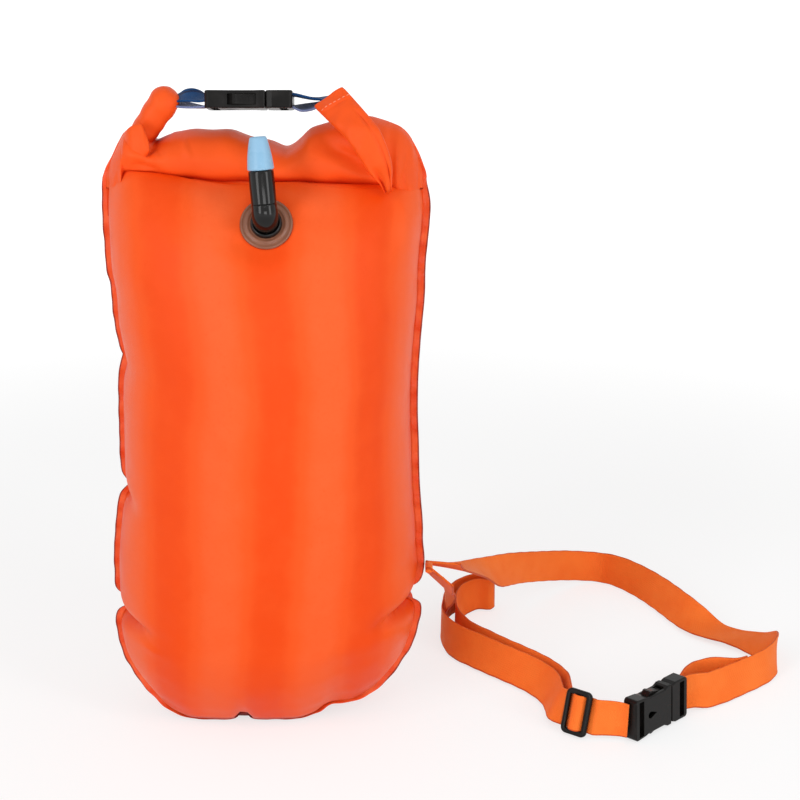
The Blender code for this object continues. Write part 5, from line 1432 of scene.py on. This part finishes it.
# The elbow turns the stem up until it leans 24 degrees from the disc. The head is turned in its collar
STEM_TURN = radians(90 - 24)
HEAD_TURN = radians(5)
SLEEVE_LENGTH, SLEEVE_BORE = 0.0215, 0.0056
NOZZLE_LENGTH = 0.0212
BORE = 0.0035
SEAM_GAP = 0.0003
TURN_POINTS = 96
VINYL_BLACK, VINYL_BLACK_LIGHT = (0.0030, 0.0028, 0.0026, 1), (0.006, 0.0055, 0.005, 1)
VINYL_SMOKE, VINYL_SMOKE_LIGHT = (0.28, 0.085, 0.045, 1), (0.52, 0.24, 0.14, 1)
NOZZLE_BLUE, NOZZLE_LIGHT = (0.235, 0.455, 0.655, 1), (0.31, 0.52, 0.71, 1)
RUBBER_BLACK, RUBBER_LIGHT = (0.012, 0.012, 0.012, 1), (0.02, 0.02, 0.02, 1)


def axes_at(place, across, out):
    """A frame at a place, with +X across and +Z out."""
    matrix = Matrix((across, out.cross(across), out)).transposed().to_4x4()
    matrix.translation = place
    return matrix


def on_bend(turn):
    """The elbow's middle line after a turn."""
    return Vector((0.0, STEM_BEND * (1 - cos(turn)), STEM_STAND_OFF + STEM_BEND * sin(turn)))


# The valve's own frame has +Z straight out of the bag and +Y up its shoulder. The swivelling head
# is turned in it, and the straight stem's frame has +Z along it, from the elbow's end
valve_out = Vector(VALVE_OUT)
valve_up = Vector((0.0, valve_out.z, -valve_out.y))
VALVE_AXES = axes_at(Vector(VALVE_PLACE), valve_up.cross(valve_out), valve_out)
HEAD_AXES = VALVE_AXES @ Matrix.Rotation(HEAD_TURN, 4, "Z")
STEM_WAY = Vector((0.0, sin(STEM_TURN), cos(STEM_TURN)))
STEM_AXES = HEAD_AXES @ axes_at(on_bend(STEM_TURN) + STEM_WAY * 0.0033, Vector((1.0, 0.0, 0.0)), STEM_WAY)


def rounded_profile(corners):
    """Straight stretches whose corners, given as radius, height and rounding, are rounded over."""
    made = []
    for i, (radius, height, bend) in enumerate(corners):
        if not bend:
            made.append((radius, height))
            continue
        here = np.array([radius, height])
        before, after = np.array(corners[i - 1][:2]) - here, np.array(corners[i + 1][:2]) - here
        start, end = (here + way / np.linalg.norm(way) * min(bend, np.linalg.norm(way) * 0.48)
                      for way in (before, after))
        for t in np.linspace(0, 1, 6):
            made.append(tuple((1 - t) ** 2 * start + 2 * t * (1 - t) * here + t * t * end))
    return made


def turned_piece(name, profile, axes, flat=None):
    """A profile of radii and heights turned round an axis. flat holds each ring's depth by its width."""
    theta = full_turn(TURN_POINTS)
    rings = []
    for (radius, height), share in zip(profile, flat or [1] * len(profile)):
        rings.append(np.stack([radius * np.cos(theta), radius * share * np.sin(theta),
                               np.full_like(theta, height)], axis=1))
    return skin(name, np.stack(rings) @ np.array(axes.to_3x3()).T + np.array(axes.translation), 0)


def vinyl_finish(name, colour, light, roughness, clear=0.0, gloss=0.3):
    """Soft moulded vinyl, glossy, with faint cloudiness and dust in the gloss."""
    material, tree, shader = new_finish(name, Roughness=roughness, Transmission_Weight=clear, IOR=1.45,
                                        Specular_IOR_Level=gloss)
    cloud = blotches(tree, 70, 3.0)
    dust = blotches(tree, 900, 2.0)
    link_finish(tree, shader, blend_colours(tree, cloud, colour, light),
                between(tree, cloud, 0.25, 0.8, roughness - 0.04, roughness + 0.08), dust, 0.12, 0.00004)
    return material


black_vinyl = vinyl_finish("black_vinyl_gloss", VINYL_BLACK, VINYL_BLACK_LIGHT, 0.12, 0.0, 0.32)
smoked_vinyl = vinyl_finish("smoked_vinyl_clear", VINYL_SMOKE, VINYL_SMOKE_LIGHT, 0.12, 0.45)
nozzle_plastic = vinyl_finish("pale_blue_nozzle", NOZZLE_BLUE, NOZZLE_LIGHT, 0.30)
seal_rubber = vinyl_finish("seal_rubber_skin", RUBBER_BLACK, RUBBER_LIGHT, 0.55)


def add_valve_disc():
    """The disc, its backing ring behind the cloth, and the collar that the elbow turns in."""
    r, low, c, h = FLANGE_RADIUS, -FLANGE_THICKNESS - SEAM_GAP, COLLAR_RADIUS, COLLAR_HEIGHT
    disc = [
        (BORE, 0.0, 0), (0.0112, 0.0, 0.0006), (0.0122, 0.0007, 0.0004), (0.0131, 0.0007, 0.0004),
        (0.0139, -0.0001, 0.0006), (0.0152, -0.0001, 0.0006), (0.0160, 0.0003, 0.0005),
        (r - 0.0006, 0.0001, 0.0006), (r, -0.0009, 0.0005), (r - 0.0004, -FLANGE_THICKNESS, 0.0003),
        (BORE, -FLANGE_THICKNESS, 0),
    ]
    ring = [
        (BORE, low, 0), (0.0136, low, 0.0003), (0.0140, low - 0.0005, 0.0003), (0.0136, low - 0.0010, 0.0003),
        (BORE, low - 0.0010, 0),
    ]
    collar = [
        (0.0036, SEAM_GAP, 0), (c + 0.0004, SEAM_GAP, 0.0005), (c, 0.0012, 0.0004), (c, h * 0.72, 0.0006),
        (c - 0.0009, h, 0.0005), (c - 0.0015, h, 0.0003), (c - 0.0018, h * 0.45, 0.0004),
        (0.0036, h * 0.36, 0),
    ]
    for name, corners, finish, slot, node in (
            ("valve_disc", disc, smoked_vinyl, "smoked_vinyl", "valve_flange"),
            ("valve_backing", ring, smoked_vinyl, "smoked_vinyl", "valve_backing_ring"),
            ("valve_collar_ring", collar, black_vinyl, "black_vinyl", "valve_collar")):
        piece = turned_piece(name, rounded_profile(corners), VALVE_AXES)
        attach(piece, "bag")
        finish_piece(piece, finish, slot, node)


ELBOW_FOOT_RINGS, ELBOW_STEPS = 5, 26


def add_elbow():
    """The bend is swept from the collar up to the stem's slant, a little fuller round the turn."""
    stations = [(Vector((0, 0, COLLAR_HEIGHT * 0.45 + k * 0.0008)), 0.0, STEM_RADIUS - 0.0002)
                for k in range(ELBOW_FOOT_RINGS)]
    for i in range(1, ELBOW_STEPS + 1):
        turn = STEM_TURN * i / ELBOW_STEPS
        stations.append((on_bend(turn), turn, STEM_RADIUS + 0.00045 * sin(pi * i / (ELBOW_STEPS + 1)) ** 0.8))
    last = on_bend(STEM_TURN)
    stations += [(last + STEM_WAY * 0.0010 * k, STEM_TURN, STEM_RADIUS) for k in (1, 2, 3)]
    stations += [(last + STEM_WAY * (0.0030 + inset * 0.2), STEM_TURN, STEM_RADIUS - inset)
                 for inset in (0.00005, 0.00012, 0.00025)]
    rings = []
    for middle, turn, radius in stations:
        up = Vector((0.0, cos(turn), -sin(turn)))
        rings.append([tuple(HEAD_AXES @ (middle + Vector((radius * cos(t), 0, 0)) + up * radius * sin(t)))
                      for t in full_turn(TURN_POINTS)])
    elbow = skin("valve_elbow_bend", np.array(rings), 0)
    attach(elbow, "valve_head")
    finish_piece(elbow, black_vinyl, "black_vinyl", "valve_elbow")


def add_stem():
    """The lock sleeve, with the mouthpiece and its seal ring, whose stem slides in the sleeve's bore."""
    s, long, bore = STEM_RADIUS, SLEEVE_LENGTH, SLEEVE_BORE
    sleeve = turned_piece("lock_sleeve_tube", rounded_profile([
        (bore, 0.0, 0), (s - 0.0001, 0.0, 0.0001), (s, 0.0003, 0.0002), (s + 0.0001, long * 0.5, 0.002),
        (s, long - 0.0012, 0.0006), (s - 0.0003, long - 0.0002, 0.0005), (s - 0.0010, long, 0.0004),
        (bore, long, 0.0003), (bore, 0.0012, 0), (0.0030, 0.0010, 0),
    ]), STEM_AXES)
    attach(sleeve, "lock_sleeve")
    finish_piece(sleeve, black_vinyl, "black_vinyl", "valve_lock_sleeve")

    foot = long + SEAM_GAP
    tip = foot + NOZZLE_LENGTH
    # Radius, height, and the section's depth against its width
    nozzle = [
        (0.0042, foot - 0.0150, 1), (0.0042, foot - 0.0002, 1), (0.0079, foot, 1), (0.0084, foot + 0.0003, 1),
        (0.0086, foot + 0.0009, 1), (0.00845, foot + 0.003, 0.985), (0.0080, foot + 0.008, 0.95),
        (0.0072, foot + 0.013, 0.91), (0.0064, foot + 0.017, 0.87), (0.0060, tip - 0.0026, 0.83),
        (0.0057, tip - 0.0013, 0.81), (0.0054, tip - 0.0006, 0.79), (0.0048, tip - 0.0001, 0.78),
        (0.0043, tip, 0.74), (0.0037, tip - 0.0003, 0.73), (0.0034, tip - 0.0010, 0.72),
        (0.0030, tip - 0.004, 0.72), (0.0026, tip - 0.012, 0.75),
    ]
    mouthpiece = turned_piece("mouthpiece_tip", [row[:2] for row in nozzle], STEM_AXES,
                              flat=[row[2] for row in nozzle])
    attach(mouthpiece, "mouthpiece")
    finish_piece(mouthpiece, nozzle_plastic, "pale_blue_plastic", "valve_mouthpiece")

    middle = foot - 0.0085
    seal = turned_piece("seal_ring", rounded_profile([
        (0.0043, middle - 0.0008, 0), (0.0053, middle - 0.0009, 0.0004), (0.0055, middle, 0.0004),
        (0.0053, middle + 0.0009, 0.0004), (0.0043, middle + 0.0008, 0),
    ]), STEM_AXES)
    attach(seal, "mouthpiece")
    finish_piece(seal, seal_rubber, "seal_rubber", "valve_seal_ring")


add_valve_disc()
add_elbow()
add_stem()
